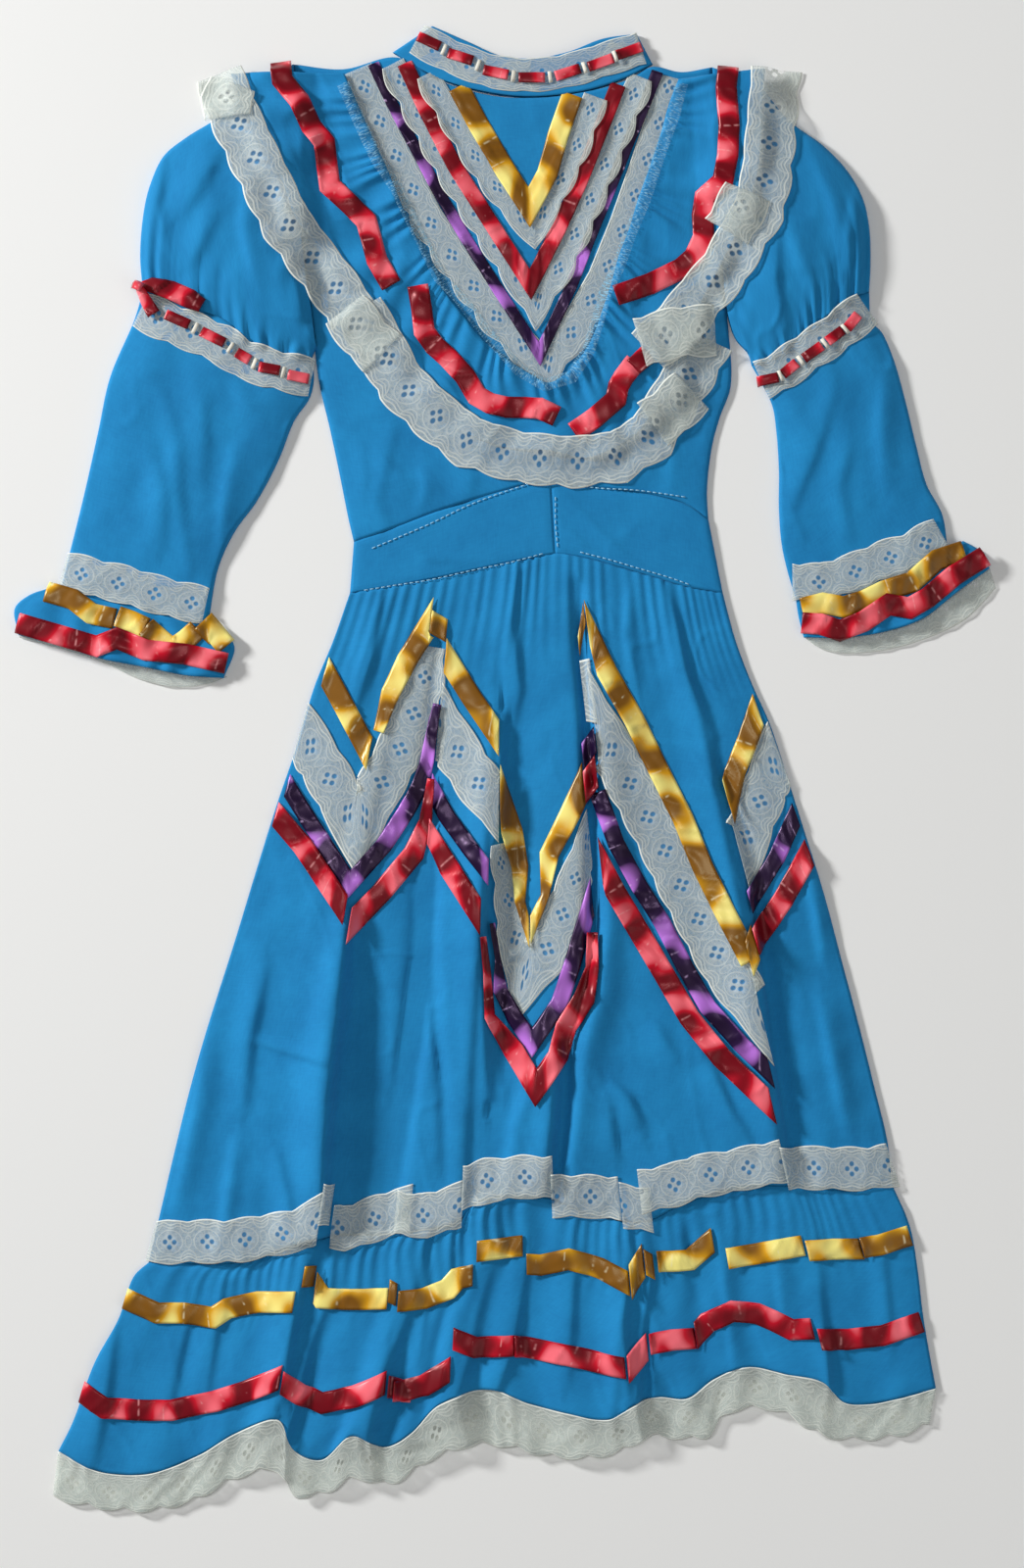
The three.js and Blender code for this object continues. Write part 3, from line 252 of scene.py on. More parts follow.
# Cuff trim
CUFF_LACE_LEFT = [[-338, 152], [-312, 145], [-290, 140], [-271, 134], [-252, 129], [-229, 124]]
CUFF_LACE_RIGHT = [[333, 179], [310, 166], [288, 159], [264, 149], [242, 142], [219, 142]]
CUFF_GOLD_LEFT = [
  [[-351, 135], [-340, 132], [-330, 129], [-316, 118], [-298, 114]],
  [[-296, 116], [-285, 112], [-274, 107]],
  [[-274, 108], [-264, 99], [-254, 91], [-244, 98], [-235, 106]],
  [[-232, 100], [-225, 107], [-219, 100], [-213, 93]],
]
CUFF_RED_LEFT = [
  [-373, 111], [-342, 102], [-312, 93], [-296, 99], [-274, 90], [-244, 87], [-213, 80],
]
CUFF_GOLD_RIGHT = [
  [350, 166], [329, 159], [310, 142], [288, 135], [274, 128], [258, 123], [242, 126], [226, 122],
]
CUFF_RED_RIGHT = [
  [366, 162], [342, 147], [322, 130], [308, 122], [292, 125], [273, 112], [255, 105], [240, 110],
  [226, 111],
]
# Trims of the skirt and the flounce, as the stretches that show between the folds. A row of a middle line
# has x and y, and where a fold narrows what shows, a third number: the share of the full width.
ZIG_GOLD = [
  [[-138, 74], [-123, 47], [-104, 11]],
  [[-97, 28, 0.5], [-88, 57, 0.9], [-75, 83], [-62, 104], [-57, 113]],
  [[-57, 112], [-45, 105]],
  [[-46, 86], [-26, 54], [-5, 23]],
  [[-4, -15], [5, -48], [11, -75, 0.8], [11, -102, 0.5], [18, -125, 0.7]],
  [[19, -123, 0.6], [30, -97, 0.4], [33, -66, 0.9], [49, -35], [60, -11]],
  [[56, 93, 0.42], [60, 119, 0.42]],
  [[62, 111], [77, 74], [98, 37], [118, -4], [135, -38], [150, -75], [167, -110], [180, -135],
   [186, -147]],
  [[185, -145], [190, -132]],
  [[170, -26], [175, -3], [185, 22], [193, 45]],
]
ZIG_LACE = [
  [[-157, 29], [-140, 2], [-125, -25], [-113, -48], [-97, -15], [-82, 11], [-71, 39], [-62, 67, 0.85],
   [-58, 93, 0.6]],
  [[-51, 36], [-36, 11], [-18, -15], [-5, -30]],
  [[-6, -58, 0.3], [0, -88, 0.45], [6, -122, 0.7], [15, -159], [29, -143], [41, -118, 0.9],
   [54, -82, 0.65], [64, -51, 0.5]],
  [[59, 59, 1.4], [67, 59, 1.4]],
  [[67, 39], [83, 9], [100, -21], [117, -53], [133, -87], [150, -120], [167, -152], [184, -175],
   [195, -189]],
  [[179, -66], [185, -48], [197, -18], [209, 12]],
]
ZIG_PURPLE = [
  [[-167, -13], [-150, -40], [-133, -66], [-119, -88], [-93, -59], [-76, -33], [-65, -13],
   [-60, 6, 0.8], [-55, 36, 0.6], [-52, 49, 0.5]],
  [[-57, -15], [-44, -38], [-28, -60], [-13, -79]],
  [[-10, -118, 0.3], [-6, -145, 0.35], [-4, -169, 0.8], [7, -190], [20, -209], [41, -179], [50, -152],
   [58, -125], [66, -98]],
  [[59, 9], [68, 22]],
  [[70, -18], [84, -57], [102, -90], [119, -117], [136, -150], [154, -182], [179, -210], [202, -232]],
  [[186, -102], [207, -68], [222, -35]],
]
ZIG_RED = [
  [[-176, -35], [-155, -59], [-122, -108]],
  [[-119, -120], [-95, -95], [-70, -65], [-61, -40, 0.6], [-57, -8, 0.35]],
  [[-59, -48, 0.7], [-43, -76], [-19, -113]],
  [[-17, -128, 0.3], [-14, -155, 0.35], [-12, -189, 0.5], [6, -215], [23, -243], [40, -219],
   [46, -197], [60, -175], [66, -152, 0.6], [66, -125, 0.5]],
  [[60, -15], [69, -2]],
  [[72, -70], [83, -93], [102, -125], [122, -159], [140, -190], [164, -220], [189, -244], [203, -257]],
  [[190, -132], [212, -100], [232, -64]],
]
SEAM_LACES = [
  [[-271, -361], [-255, -362], [-239, -361], [-222, -361], [-204, -360], [-175, -355], [-157, -351],
   [-141, -342]],
  [[-140, -331], [-132, -332]],
  [[-132, -349], [-123, -351], [-108, -347], [-93, -341], [-79, -337], [-72, -335]],
  [[-84, -338], [-71, -341], [-62, -341], [-47, -337], [-33, -332]],
  [[-33, -320], [-13, -314], [13, -311], [36, -311]],
  [[35, -326], [60, -326], [87, -328]],
  [[88, -333], [111, -337]],
  [[102, -323], [127, -318], [146, -311], [167, -308], [194, -302], [212, -299]],
  [[212, -305], [245, -305], [272, -306], [296, -303]],
]
HEM_GOLD = [
  [[-291, -405], [-266, -416], [-246, -416], [-223, -419], [-212, -412], [-189, -407], [-161, -406]],
  [[-154, -387], [-145, -387]],
  [[-145, -396], [-140, -404], [-126, -405], [-108, -405], [-90, -404]],
  [[-89, -398], [-83, -401]],
  [[-82, -406], [-62, -404], [-44, -397], [-37, -389], [-25, -386]],
  [[-22, -368], [-4, -366], [13, -364]],
  [[16, -378], [27, -379], [48, -374], [72, -381], [94, -392]],
  [[95, -391], [105, -375]],
  [[106, -376], [113, -380]],
  [[116, -376], [127, -376], [141, -375], [158, -360]],
  [[169, -374], [189, -371], [208, -367], [227, -364]],
  [[230, -368], [250, -367], [272, -367]],
  [[272, -366], [285, -364], [309, -357]],
]
HEM_RED = [
  [[-324, -476], [-306, -488], [-282, -490], [-255, -490], [-222, -483], [-198, -475], [-171, -463]],
  [[-170, -467], [-156, -477], [-140, -484], [-115, -478], [-91, -467]],
  [[-89, -470], [-78, -475], [-72, -475]],
  [[-85, -474], [-78, -474], [-62, -470], [-42, -457]],
  [[-40, -434], [-23, -441], [7, -440]],
  [[7, -440], [47, -447], [74, -453], [91, -456]],
  [[93, -457], [108, -441]],
  [[110, -439], [127, -436], [145, -435]],
  [[145, -433], [154, -423], [173, -414], [192, -416], [204, -421], [218, -428], [234, -427]],
  [[239, -435], [261, -436], [288, -433], [318, -423]],
]
# Short pieces of ribbon that show between the slots of the threaded laces, each from end to end
COLLAR_DASHES = [
  [[-67, 559], [-50, 551]], [[-44, 546], [-25, 540]], [[-17, 533], [2, 529]], [[10, 527], [30, 527]],
  [[38, 528], [57, 534]], [[63, 535], [82, 542]], [[85, 544], [104, 551]],
]
BAND_DASHES_LEFT = [
  [[-259, 346], [-241, 338]], [[-232, 333], [-214, 324]], [[-205, 317], [-195, 311]],
  [[-188, 306], [-172, 303]], [[-166, 300], [-150, 297]],
]
BAND_DASHES_RIGHT = [
  [[192, 295], [208, 298]], [[211, 300], [222, 309]], [[227, 312], [241, 322]], [[245, 325], [257, 334]],
  [[260, 335], [269, 346]],
]
# The bow on the left sleeve: its loop, its tail and its knot, with the share of the ribbon's width
BOW_LOOP = [[-281, 367, 0.35], [-270, 368, 0.8], [-255, 364, 1], [-240, 357, 1], [-231, 352, 0.75]]
BOW_TAIL = [[-279, 366, 0.4], [-274, 356, 0.6], [-268, 346, 0.7]]
BOW_KNOT = [[-284, 369, 0.5], [-276, 365, 0.5]]
# Rows of stitches along the waistband, and the zigzag stitches that hold the ruffle's gathers
TOPSTITCHES = [
  [[-102, 168], [-78, 178], [-57, 187], [-30, 200], [-4, 210], [24, 219]],
  [[38, 218], [70, 214], [102, 212], [138, 207]], [[38, 207], [38, 187], [40, 166]],
  [[-108, 136], [-83, 140], [-57, 144], [-26, 151], [3, 157], [29, 164]],
  [[57, 165], [80, 159], [100, 153], [124, 146], [144, 139]],
]
GATHER_STITCHES = [
  [-124, 522], [-110, 490], [-98, 464], [-83, 442], [-72, 419], [-61, 397], [-50, 374], [-34, 358],
  [-20, 339], [-4, 320], [10, 304], [30, 292], [50, 298], [63, 318], [70, 340], [76, 363], [86, 382],
  [95, 408], [106, 434], [117, 468], [128, 498], [134, 522],
]
# Places where a lace is folded over itself
DOUBLED_LACES = [
  [[-123, 350], [-108, 330], [-94, 316]], [[102, 324], [130, 332], [160, 334]],
  [[184, 438], [177, 422], [168, 408]],
  [[112, 262], [128, 274], [142, 288]], [[-208, 522], [-213, 510], [-212, 496]],
]

# Shapes as whole arrays


def noise(x, y, seed):
    """Soft random relief from -1 to 1: random numbers on a lattice of whole steps, joined by a smooth
    curve."""
    table = np.random.default_rng(seed).uniform(-1, 1, (LATTICE, LATTICE))
    x, y = np.broadcast_arrays(x, y)
    column, row = np.floor(x).astype(int), np.floor(y).astype(int)
    across, along = (share * share * (3 - 2 * share) for share in (x - column, y - row))

    def corner(i, j):
        """The random number at one corner of each point's cell."""
        return table[(row + j) % LATTICE, (column + i) % LATTICE]

    top = corner(0, 0) * (1 - across) + corner(1, 0) * across
    foot = corner(0, 1) * (1 - across) + corner(1, 1) * across
    return top * (1 - along) + foot * along


def smooth(low, high, value):
    """An S-shaped step: 0 below low, 1 above high, 3t^2 - 2t^3 between them."""
    share = np.clip((value - low) / (high - low), 0, 1)
    return share * share * (3 - 2 * share)


def wave(turns):
    """A row of rounded crests from 0 to 1: half of one less the cosine of each turn."""
    return 0.5 - 0.5 * np.cos(2 * np.pi * turns)


def rise(share):
    """A low dome: the root of a half sine."""
    return np.sqrt(np.maximum(np.sin(np.pi * np.clip(share, 0, 1)), 0))


def line(rows, steps=24):
    """A centripetal Catmull-Rom curve through the rows, read by its share of the length."""
    points = np.array(rows, float)
    points = np.vstack([2 * points[0] - points[1], points, 2 * points[-1] - points[-2]])
    gaps = np.sqrt(np.linalg.norm(np.diff(points, axis=0), axis=1))
    knots = np.concatenate([[0], np.cumsum(gaps)])
    turn = np.repeat(np.arange(len(rows) - 1), steps)
    share = np.tile(np.arange(steps) / steps, len(rows) - 1)
    turn, share = np.append(turn, len(rows) - 2), np.append(share, 1.0)
    k = [knots[turn + i][:, None] for i in range(4)]
    p = [points[turn + i] for i in range(4)]
    t = k[1] + (k[2] - k[1]) * share[:, None]

    def between(a, b, low, high):
        """The straight blend of two points over the span between two knots."""
        return (a * (high - t) + b * (t - low)) / (high - low)

    a = [between(p[i], p[i + 1], k[i], k[i + 1]) for i in range(3)]
    b = [between(a[i], a[i + 1], k[i], k[i + 2]) for i in range(2)]
    path = between(b[0], b[1], k[1], k[2])
    length = np.concatenate([[0], np.cumsum(np.linalg.norm(np.diff(path, axis=0), axis=1))])

    def at(share):
        """The points at the given shares of the curve's length."""
        place = np.clip(share, 0, 1) * length[-1]
        return np.stack([np.interp(place, length, path[:, i]) for i in (0, 1)], -1)

    return at


def patch(top, foot, left, right):
    """A Coons patch: straight blends across and along, added, less the blend of the four corners."""
    top, foot, left, right = (line(rows) for rows in (top, foot, left, right))

    def surface(u, v):
        """The patch's points at shares u across and v along."""
        a, b = u[..., None], v[..., None]
        blend = top(u) * (1 - b) + foot(u) * b + left(v) * (1 - a) + right(v) * a
        corners = top(0.0) * (1 - a) * (1 - b) + top(1.0) * a * (1 - b)
        return blend - corners - foot(0.0) * (1 - a) * b - foot(1.0) * a * b

    return surface


def shares(across, along):
    """A grid of shares, u across and v along, with the given numbers of steps."""
    return np.meshgrid(np.linspace(0, 1, across + 1), np.linspace(0, 1, along + 1))


def lengths(points):
    """Distances in the plan along each row and down each column of a grid, from its first point, in mm."""
    across = np.linalg.norm(np.diff(points[..., :2], axis=1), axis=2)
    along = np.linalg.norm(np.diff(points[..., :2], axis=0), axis=2)
    across = np.concatenate([np.zeros((len(points), 1)), np.cumsum(across, axis=1)], axis=1)
    along = np.concatenate([np.zeros((1, points.shape[1])), np.cumsum(along, axis=0)], axis=0)
    return across, along


def creases(x, y, rows):
    """The sum of soft ridges: across each, a bell curve with its own reach on either side of a path, and
    along it a half-sine that fades at both ends. A row has height, reach on the left of the path, reach on
    its right, and the path's points; a height below nought is a trough."""
    total = np.zeros(x.shape)
    for height, left, right, path in rows:
        ends = np.array(path, float)
        start, step = ends[:-1], np.diff(ends, axis=0)
        size = np.linalg.norm(step, axis=1)
        done = np.concatenate([[0], np.cumsum(size)])
        best = np.full(x.shape, 1e9)
        side, place = np.zeros(x.shape), np.zeros(x.shape)
        for (x0, y0), (dx, dy), long, before in zip(start, step, size, done):
            share = np.clip(((x - x0) * dx + (y - y0) * dy) / long**2, 0, 1)
            away = np.hypot(x - x0 - share * dx, y - y0 - share * dy)
            nearer = away < best
            best = np.where(nearer, away, best)
            side = np.where(nearer, dx * (y - y0) - dy * (x - x0), side)
            place = np.where(nearer, before + share * long, place)
        reach = np.where(side > 0, left, right)
        fade = np.sin(np.pi * np.clip(0.06 + 0.88 * place / done[-1], 0, 1)) ** 0.7
        total += height * fade * np.exp(-((best / reach) ** 2))
    return total


# The heights of what is laid already, on a grid of 1 mm squares
FIELD_WIDE, FIELD_LONG = 820, 1220
ground = np.zeros((FIELD_LONG, FIELD_WIDE))


def denser(points, times):
    """The same grid with more points, straight between its rows and then between its columns."""
    for axis in (0, 1):
        count = points.shape[axis]
        at = np.linspace(0, count - 1, (count - 1) * times + 1)
        low = np.minimum(at.astype(int), count - 2)
        share = (at - low).reshape([-1, 1, 1] if axis == 0 else [1, -1, 1])
        points = np.take(points, low, axis) * (1 - share) + np.take(points, low + 1, axis) * share
    return points


def lay_down(points, times=5):
    """Raises the ground to the points of a grid, made dense enough to leave no square out."""
    fine = denser(points, times).reshape(-1, 3)
    column = np.clip(np.rint(fine[:, 0] + FIELD_WIDE / 2).astype(int), 0, FIELD_WIDE - 1)
    row = np.clip(np.rint(fine[:, 1] + FIELD_LONG / 2).astype(int), 0, FIELD_LONG - 1)
    np.maximum.at(ground, (row, column), fine[:, 2])


def over(x, y, reach=3):
    """The height on which a trim rests: the ground's highest within reach, then its mean within one step
    less, so that a trim bridges what it crosses and never cuts it."""
    x, y = x + FIELD_WIDE / 2, y + FIELD_LONG / 2
    low_x, low_y = (max(int(part.min()) - 2 * reach - 1, 0) for part in (x, y))
    high = ground[low_y:int(y.max()) + 2 * reach + 3, low_x:int(x.max()) + 2 * reach + 3]
    for axis in (0, 1):
        high = np.max([np.roll(high, step, axis) for step in range(-reach, reach + 1)], axis=0)
    for axis in (0, 1):
        high = np.mean([np.roll(high, step, axis) for step in range(1 - reach, reach)], axis=0)
    column, row = np.floor(x).astype(int), np.floor(y).astype(int)
    a, b = x - column, y - row
    column, row = column - low_x, row - low_y
    top = high[row, column] * (1 - a) + high[row, column + 1] * a
    return top * (1 - b) + (high[row + 1, column] * (1 - a) + high[row + 1, column + 1] * a) * b


FAN_TOP = 590  # the height at which the lines of the skirt's folds would meet
STEEPEST = 0.24  # a tape that runs nearly along the folds is cut square across


def strip(middle, width, cell=2.0, across=8, upright=False):
    """A strip of cloth along a middle line, mitred where it turns, as rows of points: the first row is its
    left side, seen along the line. A third column of the line is the share of the width. Upright ends are
    cut along the folds, which fan out from a point above the waist, unless the tape runs with them. Returns
    the plan's points, the distance along and the share of the way from the left side, as grids."""
    middle = np.array([[*row, 1][:3] for row in middle], float)
    share_wide, middle = middle[:, 2], middle[:, :2]
    step = np.diff(middle, axis=0)
    size = np.linalg.norm(step, axis=1)
    way = step / size[:, None]
    come, go = np.vstack([way[:1], way]), np.vstack([way, way[-1:]])
    side = np.stack([-come[:, 1] - go[:, 1], come[:, 0] + go[:, 0]], 1)
    side /= np.linalg.norm(side, axis=1)[:, None]
    normal = np.stack([-go[:, 1], go[:, 0]], 1)
    if upright:
        for end in (0, -1):
            fold = np.array([-middle[end, 0], FAN_TOP - middle[end, 1]])
            slope = fold @ normal[end] / np.linalg.norm(fold)
            if abs(slope) > STEEPEST:
                side[end] = fold / np.linalg.norm(fold) * np.sign(slope)
    reach = share_wide * width / 2 / np.maximum(np.sum(side * normal, axis=1), MITRE)
    side = side * reach[:, None]
    done = np.concatenate([[0], np.cumsum(size)])
    place = np.unique(np.concatenate([np.linspace(a, b, max(2, round((b - a) / cell) + 1))
                                      for a, b in zip(done[:-1], done[1:])]))
    core = np.stack([np.interp(place, done, middle[:, i]) for i in (0, 1)], -1)
    out = np.stack([np.interp(place, done, side[:, i]) for i in (0, 1)], -1)
    share = np.linspace(0, 1, across + 1)[:, None]
    plan = core[None] + (1 - 2 * share[..., None]) * out[None]
    along = np.broadcast_to(place, plan.shape[:2])
    return plan, along, np.broadcast_to(share, along.shape)


# Meshes
def mesh_of(name, grids, lays, closed=False, flip=None):
    """A mesh from grids of points in mm, with quads between neighbours and faces turned upwards; closed
    joins the last column to the first. Each point keeps where it lies on the cloth in the attribute lay: the
    distance along, the distance across and a third number, in metres."""
    quads, before = [], 0
    for points in grids:
        rows, wide = points.shape[:2]
        index = before + np.arange(rows * wide).reshape(rows, wide)
        a, b = (index, np.roll(index, -1, axis=1)) if closed else (index[:, :-1], index[:, 1:])
        faces = np.stack([a[:-1], a[1:], b[1:], b[:-1]], -1).reshape(-1, 4)
        flat = points.reshape(-1, 3)
        first, second, third, fourth = (flat[faces[:, i] - before] for i in range(4))
        one, other = third - first, fourth - second
        facing_down = np.sum(one[:, 0] * other[:, 1] - one[:, 1] * other[:, 0]) < 0
        turned = facing_down if flip is None else flip
        quads.append(faces[:, ::-1] if turned else faces)
        before += rows * wide
    quads = np.concatenate(quads)
    flat = np.concatenate([points.reshape(-1, 3) for points in grids])
    lay = np.concatenate([lay.reshape(-1, 3) for lay in lays])
    mesh = bpy.data.meshes.new(name)
    mesh.from_pydata((flat * MM).tolist(), [], quads.tolist())
    mesh.attributes.new("lay", "FLOAT_VECTOR", "POINT").data.foreach_set(
        "vector", (lay * MM).ravel().astype(np.float32))
    mesh.polygons.foreach_set("use_smooth", np.ones(len(quads), bool))
    return mesh


NARROWEST = 10.0  # the least width that a cut is given, in mm


def grid_area(points):
    """The area of a grid of points, in square mm: half the cross product of each cell's diagonals."""
    a, b = points[1:, 1:] - points[:-1, :-1], points[1:, :-1] - points[:-1, 1:]
    return np.linalg.norm(np.cross(a, b), axis=2).sum() / 2


def shell(name, grids, lays, wall, finish, closed=False, flip=None):
    """A mesh with a wall under its faces, in its finish, that rides on the dress."""
    made = bpy.data.objects.new(name, mesh_of(name, grids, lays, closed, flip))
    bpy.context.collection.objects.link(made)
    under = made.modifiers.new("wall", "SOLIDIFY")
    under.thickness, under.offset, under.use_rim = wall * MM, -1, True
    made.data.materials.append(materials[finish])
    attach(made, "root")
    return made


def piece(node, points, lay, wall, finish, closed=False, flip=None, stands=True):
    """One sheet of cloth: its shell, with the CAD node it takes the place of hidden. Its cut is worked out,
    as wide and as long as the sheet measures along its surface, and then left unused. Several grids are the
    stretches of a tape, whose cut is as long as their rows together, and as wide as its area then asks."""
    grids = points if isinstance(points, list) else [points]
    lays = lay if isinstance(lay, list) else [lay]
    made = shell(node + "_fabric", grids, lays, wall, finish, closed, flip)
    if stands:
        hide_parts(node)
    rings = [np.concatenate([grid, grid[:, :1]], axis=1) if closed else grid for grid in grids]
    area = sum(map(grid_area, rings))
    rows = [np.linalg.norm(np.diff(ring, axis=1), axis=2).sum(axis=1) for ring in rings]
    if isinstance(points, list):
        wide = sum(row.mean() for row in rows)
        long = max(area / wide, NARROWEST)
    else:
        wide = rows[0].max()
        long = np.linalg.norm(np.diff(rings[0], axis=0), axis=2).sum(axis=0).max()
    area = np.clip(area, 0.31 * wide * long, 0.99 * wide * long)
    return made


def stitches(name, paths, long=3.0, gap=1.4, wide=0.8, thick=0.3, finish="thread"):
    """Rows of stitches: short threads along each path, bowed a little above the cloth. The thread is 0.4 mm
    wide and drawn at twice that."""
    grids, lays = [], []
    for path in paths:
        at = line(path)
        total = np.linalg.norm(np.diff(at(np.linspace(0, 1, 200)), axis=0), axis=1).sum()
        for start in np.arange(0, total - long, long + gap):
            share = np.linspace(0, 1, 4)
            middle = at((start + long * share) / total)
            way = (middle[-1] - middle[0]) / np.linalg.norm(middle[-1] - middle[0])
            out = np.array([-way[1], way[0]]) * wide / 2
            plan = middle[None] + np.array([1, 0, -1])[:, None, None] * out
            height = over(plan[..., 0], plan[..., 1], 2) + GAP + thick + 0.3 * np.sin(np.pi * share)
            grids.append(with_height(plan, height))
            lays.append(np.zeros(grids[-1].shape))
    return shell(name, grids, lays, thick, finish)


def lay_of(points, third=0.0):
    """Where each point of a grid lies on its cloth: the way across, the way along, and a third number."""
    across, along = lengths(points)
    return np.stack([across, along, np.broadcast_to(third, across.shape)], -1)


def with_height(plan, height):
    """Points in space: the plan's x and y, and the height as z."""
    return np.concatenate([plan, height[..., None]], -1)


def panel(node, plan, height):
    """A front panel of poplin over its plan, which raises the ground for what lies on it."""
    points = with_height(plan, height)
    piece(node, points, lay_of(points), POPLIN, "poplin")
    lay_down(points)


def colour(code):
    """An sRGB hex value as linear red, green, blue and alpha: ((c + 0.055) / 1.055)^2.4 above the toe."""
    parts = np.array([int(code[i:i + 2], 16) for i in (1, 3, 5)]) / 255
    linear = np.where(parts > 0.04045, ((parts + 0.055) / 1.055) ** 2.4, parts / 12.92)
    return (*linear.tolist(), 1.0)


def add(tree, kind, inputs=(), **settings):
    """Adds a node: settings are its own properties; an input is a number, a colour or another's socket."""
    made = tree.nodes.new(kind)
    for name, value in settings.items():
        setattr(made, name, value)
    for name, value in dict(inputs).items():
        if isinstance(value, bpy.types.NodeSocket):
            tree.links.new(value, made.inputs[name])
        else:
            made.inputs[name].default_value = value
    return made


def begin(name):
    """A material with its shader, and the place on the cloth that the pieces carry, in millimetres."""
    made = bpy.data.materials.new(name)
    made.use_nodes = True
    tree = made.node_tree
    shader = tree.nodes["Principled BSDF"]
    lay = add(tree, "ShaderNodeAttribute", attribute_name="lay")
    place = add(tree, "ShaderNodeVectorMath", {0: lay.outputs["Vector"], "Scale": 1000.0}, operation="SCALE")
    return made, tree, shader, place.outputs[0]


def poplin():
    """Dyed cotton poplin, plain woven and pressed: an even, nearly matt blue with a soft sheen, faint slubs
    along its threads and slightly deeper dye in places. Its threads are 0.3 mm apart, too fine to show, so
    the weave is drawn at 1.4 mm."""
    made, tree, shader, place = begin("cotton poplin, plain woven")
    across = add(tree, "ShaderNodeMapping", {"Vector": place, "Scale": (1 / 9, 1 / 1.4, 1)})
    along = add(tree, "ShaderNodeMapping", {"Vector": place, "Scale": (1 / 1.4, 1 / 9, 1)})
    weft = add(tree, "ShaderNodeTexNoise", {"Vector": across.outputs[0], "Scale": 1.0, "Detail": 1.0})
    warp = add(tree, "ShaderNodeTexNoise", {"Vector": along.outputs[0], "Scale": 1.0, "Detail": 1.0})
    threads = add(tree, "ShaderNodeMath", {0: weft.outputs[0], 1: warp.outputs[0]}, operation="ADD")
    cloudy = add(tree, "ShaderNodeTexNoise", {"Vector": place, "Scale": 1 / 45, "Detail": 3.0})
    mixed = add(tree, "ShaderNodeMath", {0: threads.outputs[0], 1: 0.35, 2: cloudy.outputs[0]},
                operation="MULTIPLY_ADD")
    share = add(tree, "ShaderNodeMapRange", {"Value": mixed.outputs[0], "From Min": 0.55, "From Max": 1.15})
    tint = add(tree, "ShaderNodeMix", {0: share.outputs[0], 6: colour("#1278B2"), 7: colour("#1C8CC8")},
               data_type="RGBA")
    bump = add(tree, "ShaderNodeBump", {"Height": threads.outputs[0], "Strength": 0.25, "Distance": 0.0002})
    tree.links.new(tint.outputs[2], shader.inputs["Base Color"])
    tree.links.new(bump.outputs[0], shader.inputs["Normal"])
    shader.inputs["Roughness"].default_value = 0.85
    shader.inputs["Specular IOR Level"].default_value = 0.25
    shader.inputs["Sheen Weight"].default_value = 0.15
    shader.inputs["Sheen Roughness"].default_value = 0.5
    shader.inputs["Sheen Tint"].default_value = colour("#9FD3F0")
    return made


def satin(name, painted_shade, middle, painted_highlight, tint, pitch):
    """Polyester satin ribbon, woven with long floats: smooth and glossy, its highlight tinted by the dye.
    Its base colour holds painted highlight and painted shade: broad slanting bands, about as far apart as
    the pitch, are painted bright where the floats would lean towards the light and deep where they would
    lean away from it;
    thin pale lines here and there are painted highlights along creases."""
    made, tree, shader, place = begin(name)
    slant = add(tree, "ShaderNodeMapping", {"Vector": place, "Scale": (1 / pitch, 1 / 36, 0),
                                            "Rotation": (0, 0, 0.45)})
    bands = add(tree, "ShaderNodeTexNoise", {"Vector": slant.outputs[0], "Scale": 1.0, "Detail": 0.6,
                                             "Roughness": 0.4})
    # the bands' share picks painted shade, the middle tone or painted highlight for the base colour
    level = add(tree, "ShaderNodeMapRange", {"Value": bands.outputs[0], "From Min": 0.4, "From Max": 0.62},
                interpolation_type="SMOOTHSTEP")
    deep = add(tree, "ShaderNodeMapRange", {"Value": level.outputs[0], "From Min": 0.0, "From Max": 0.5})
    painted_highlight_share = add(tree, "ShaderNodeMapRange", {"Value": level.outputs[0], "From Min": 0.5, "From Max": 1.0})
    low = add(tree, "ShaderNodeMix", {0: deep.outputs[0], 6: colour(painted_shade), 7: colour(middle)},
              data_type="RGBA")
    painted_shade_and_highlight = add(tree, "ShaderNodeMix", {0: painted_highlight_share.outputs[0], 6: low.outputs[2], 7: colour(painted_highlight)},
              data_type="RGBA")
    # pale lines in the tint, here and there along creases: painted highlights in the base colour
    crease = add(tree, "ShaderNodeMapping", {"Vector": place, "Scale": (1 / 31, 1 / 90, 0),
                                             "Rotation": (0, 0, 0.6)})
    lines = add(tree, "ShaderNodeTexNoise", {"Vector": crease.outputs[0], "Scale": 1.0, "Detail": 0.0})
    off = add(tree, "ShaderNodeMath", {0: lines.outputs[0], 1: 0.5}, operation="SUBTRACT")
    far = add(tree, "ShaderNodeMath", {0: off.outputs[0]}, operation="ABSOLUTE")
    painted_crease_highlight = add(tree, "ShaderNodeMapRange", {"Value": far.outputs[0], "From Min": 0.0, "From Max": 0.02,
                                            "To Min": 1.0, "To Max": 0.0})
    rare = add(tree, "ShaderNodeTexNoise", {"Vector": place, "Scale": 0.07, "Detail": 1.0})
    kept = add(tree, "ShaderNodeMapRange", {"Value": rare.outputs[0], "From Min": 0.5, "From Max": 0.64,
                                            "To Min": 0.0, "To Max": 0.5})
    painted_crease_highlight = add(tree, "ShaderNodeMath", {0: painted_crease_highlight.outputs[0], 1: kept.outputs[0]}, operation="MULTIPLY")
    shown = add(tree, "ShaderNodeMix", {0: painted_crease_highlight.outputs[0], 6: painted_shade_and_highlight.outputs[2], 7: colour(tint)},
                data_type="RGBA")
    bump = add(tree, "ShaderNodeBump", {"Height": bands.outputs[0], "Strength": 0.3, "Distance": 0.004})
    tree.links.new(shown.outputs[2], shader.inputs["Base Color"])
    tree.links.new(bump.outputs[0], shader.inputs["Normal"])
    shader.inputs["Roughness"].default_value = 0.32
    shader.inputs["IOR"].default_value = 1.55
    shader.inputs["Specular Tint"].default_value = colour(tint)
    return made


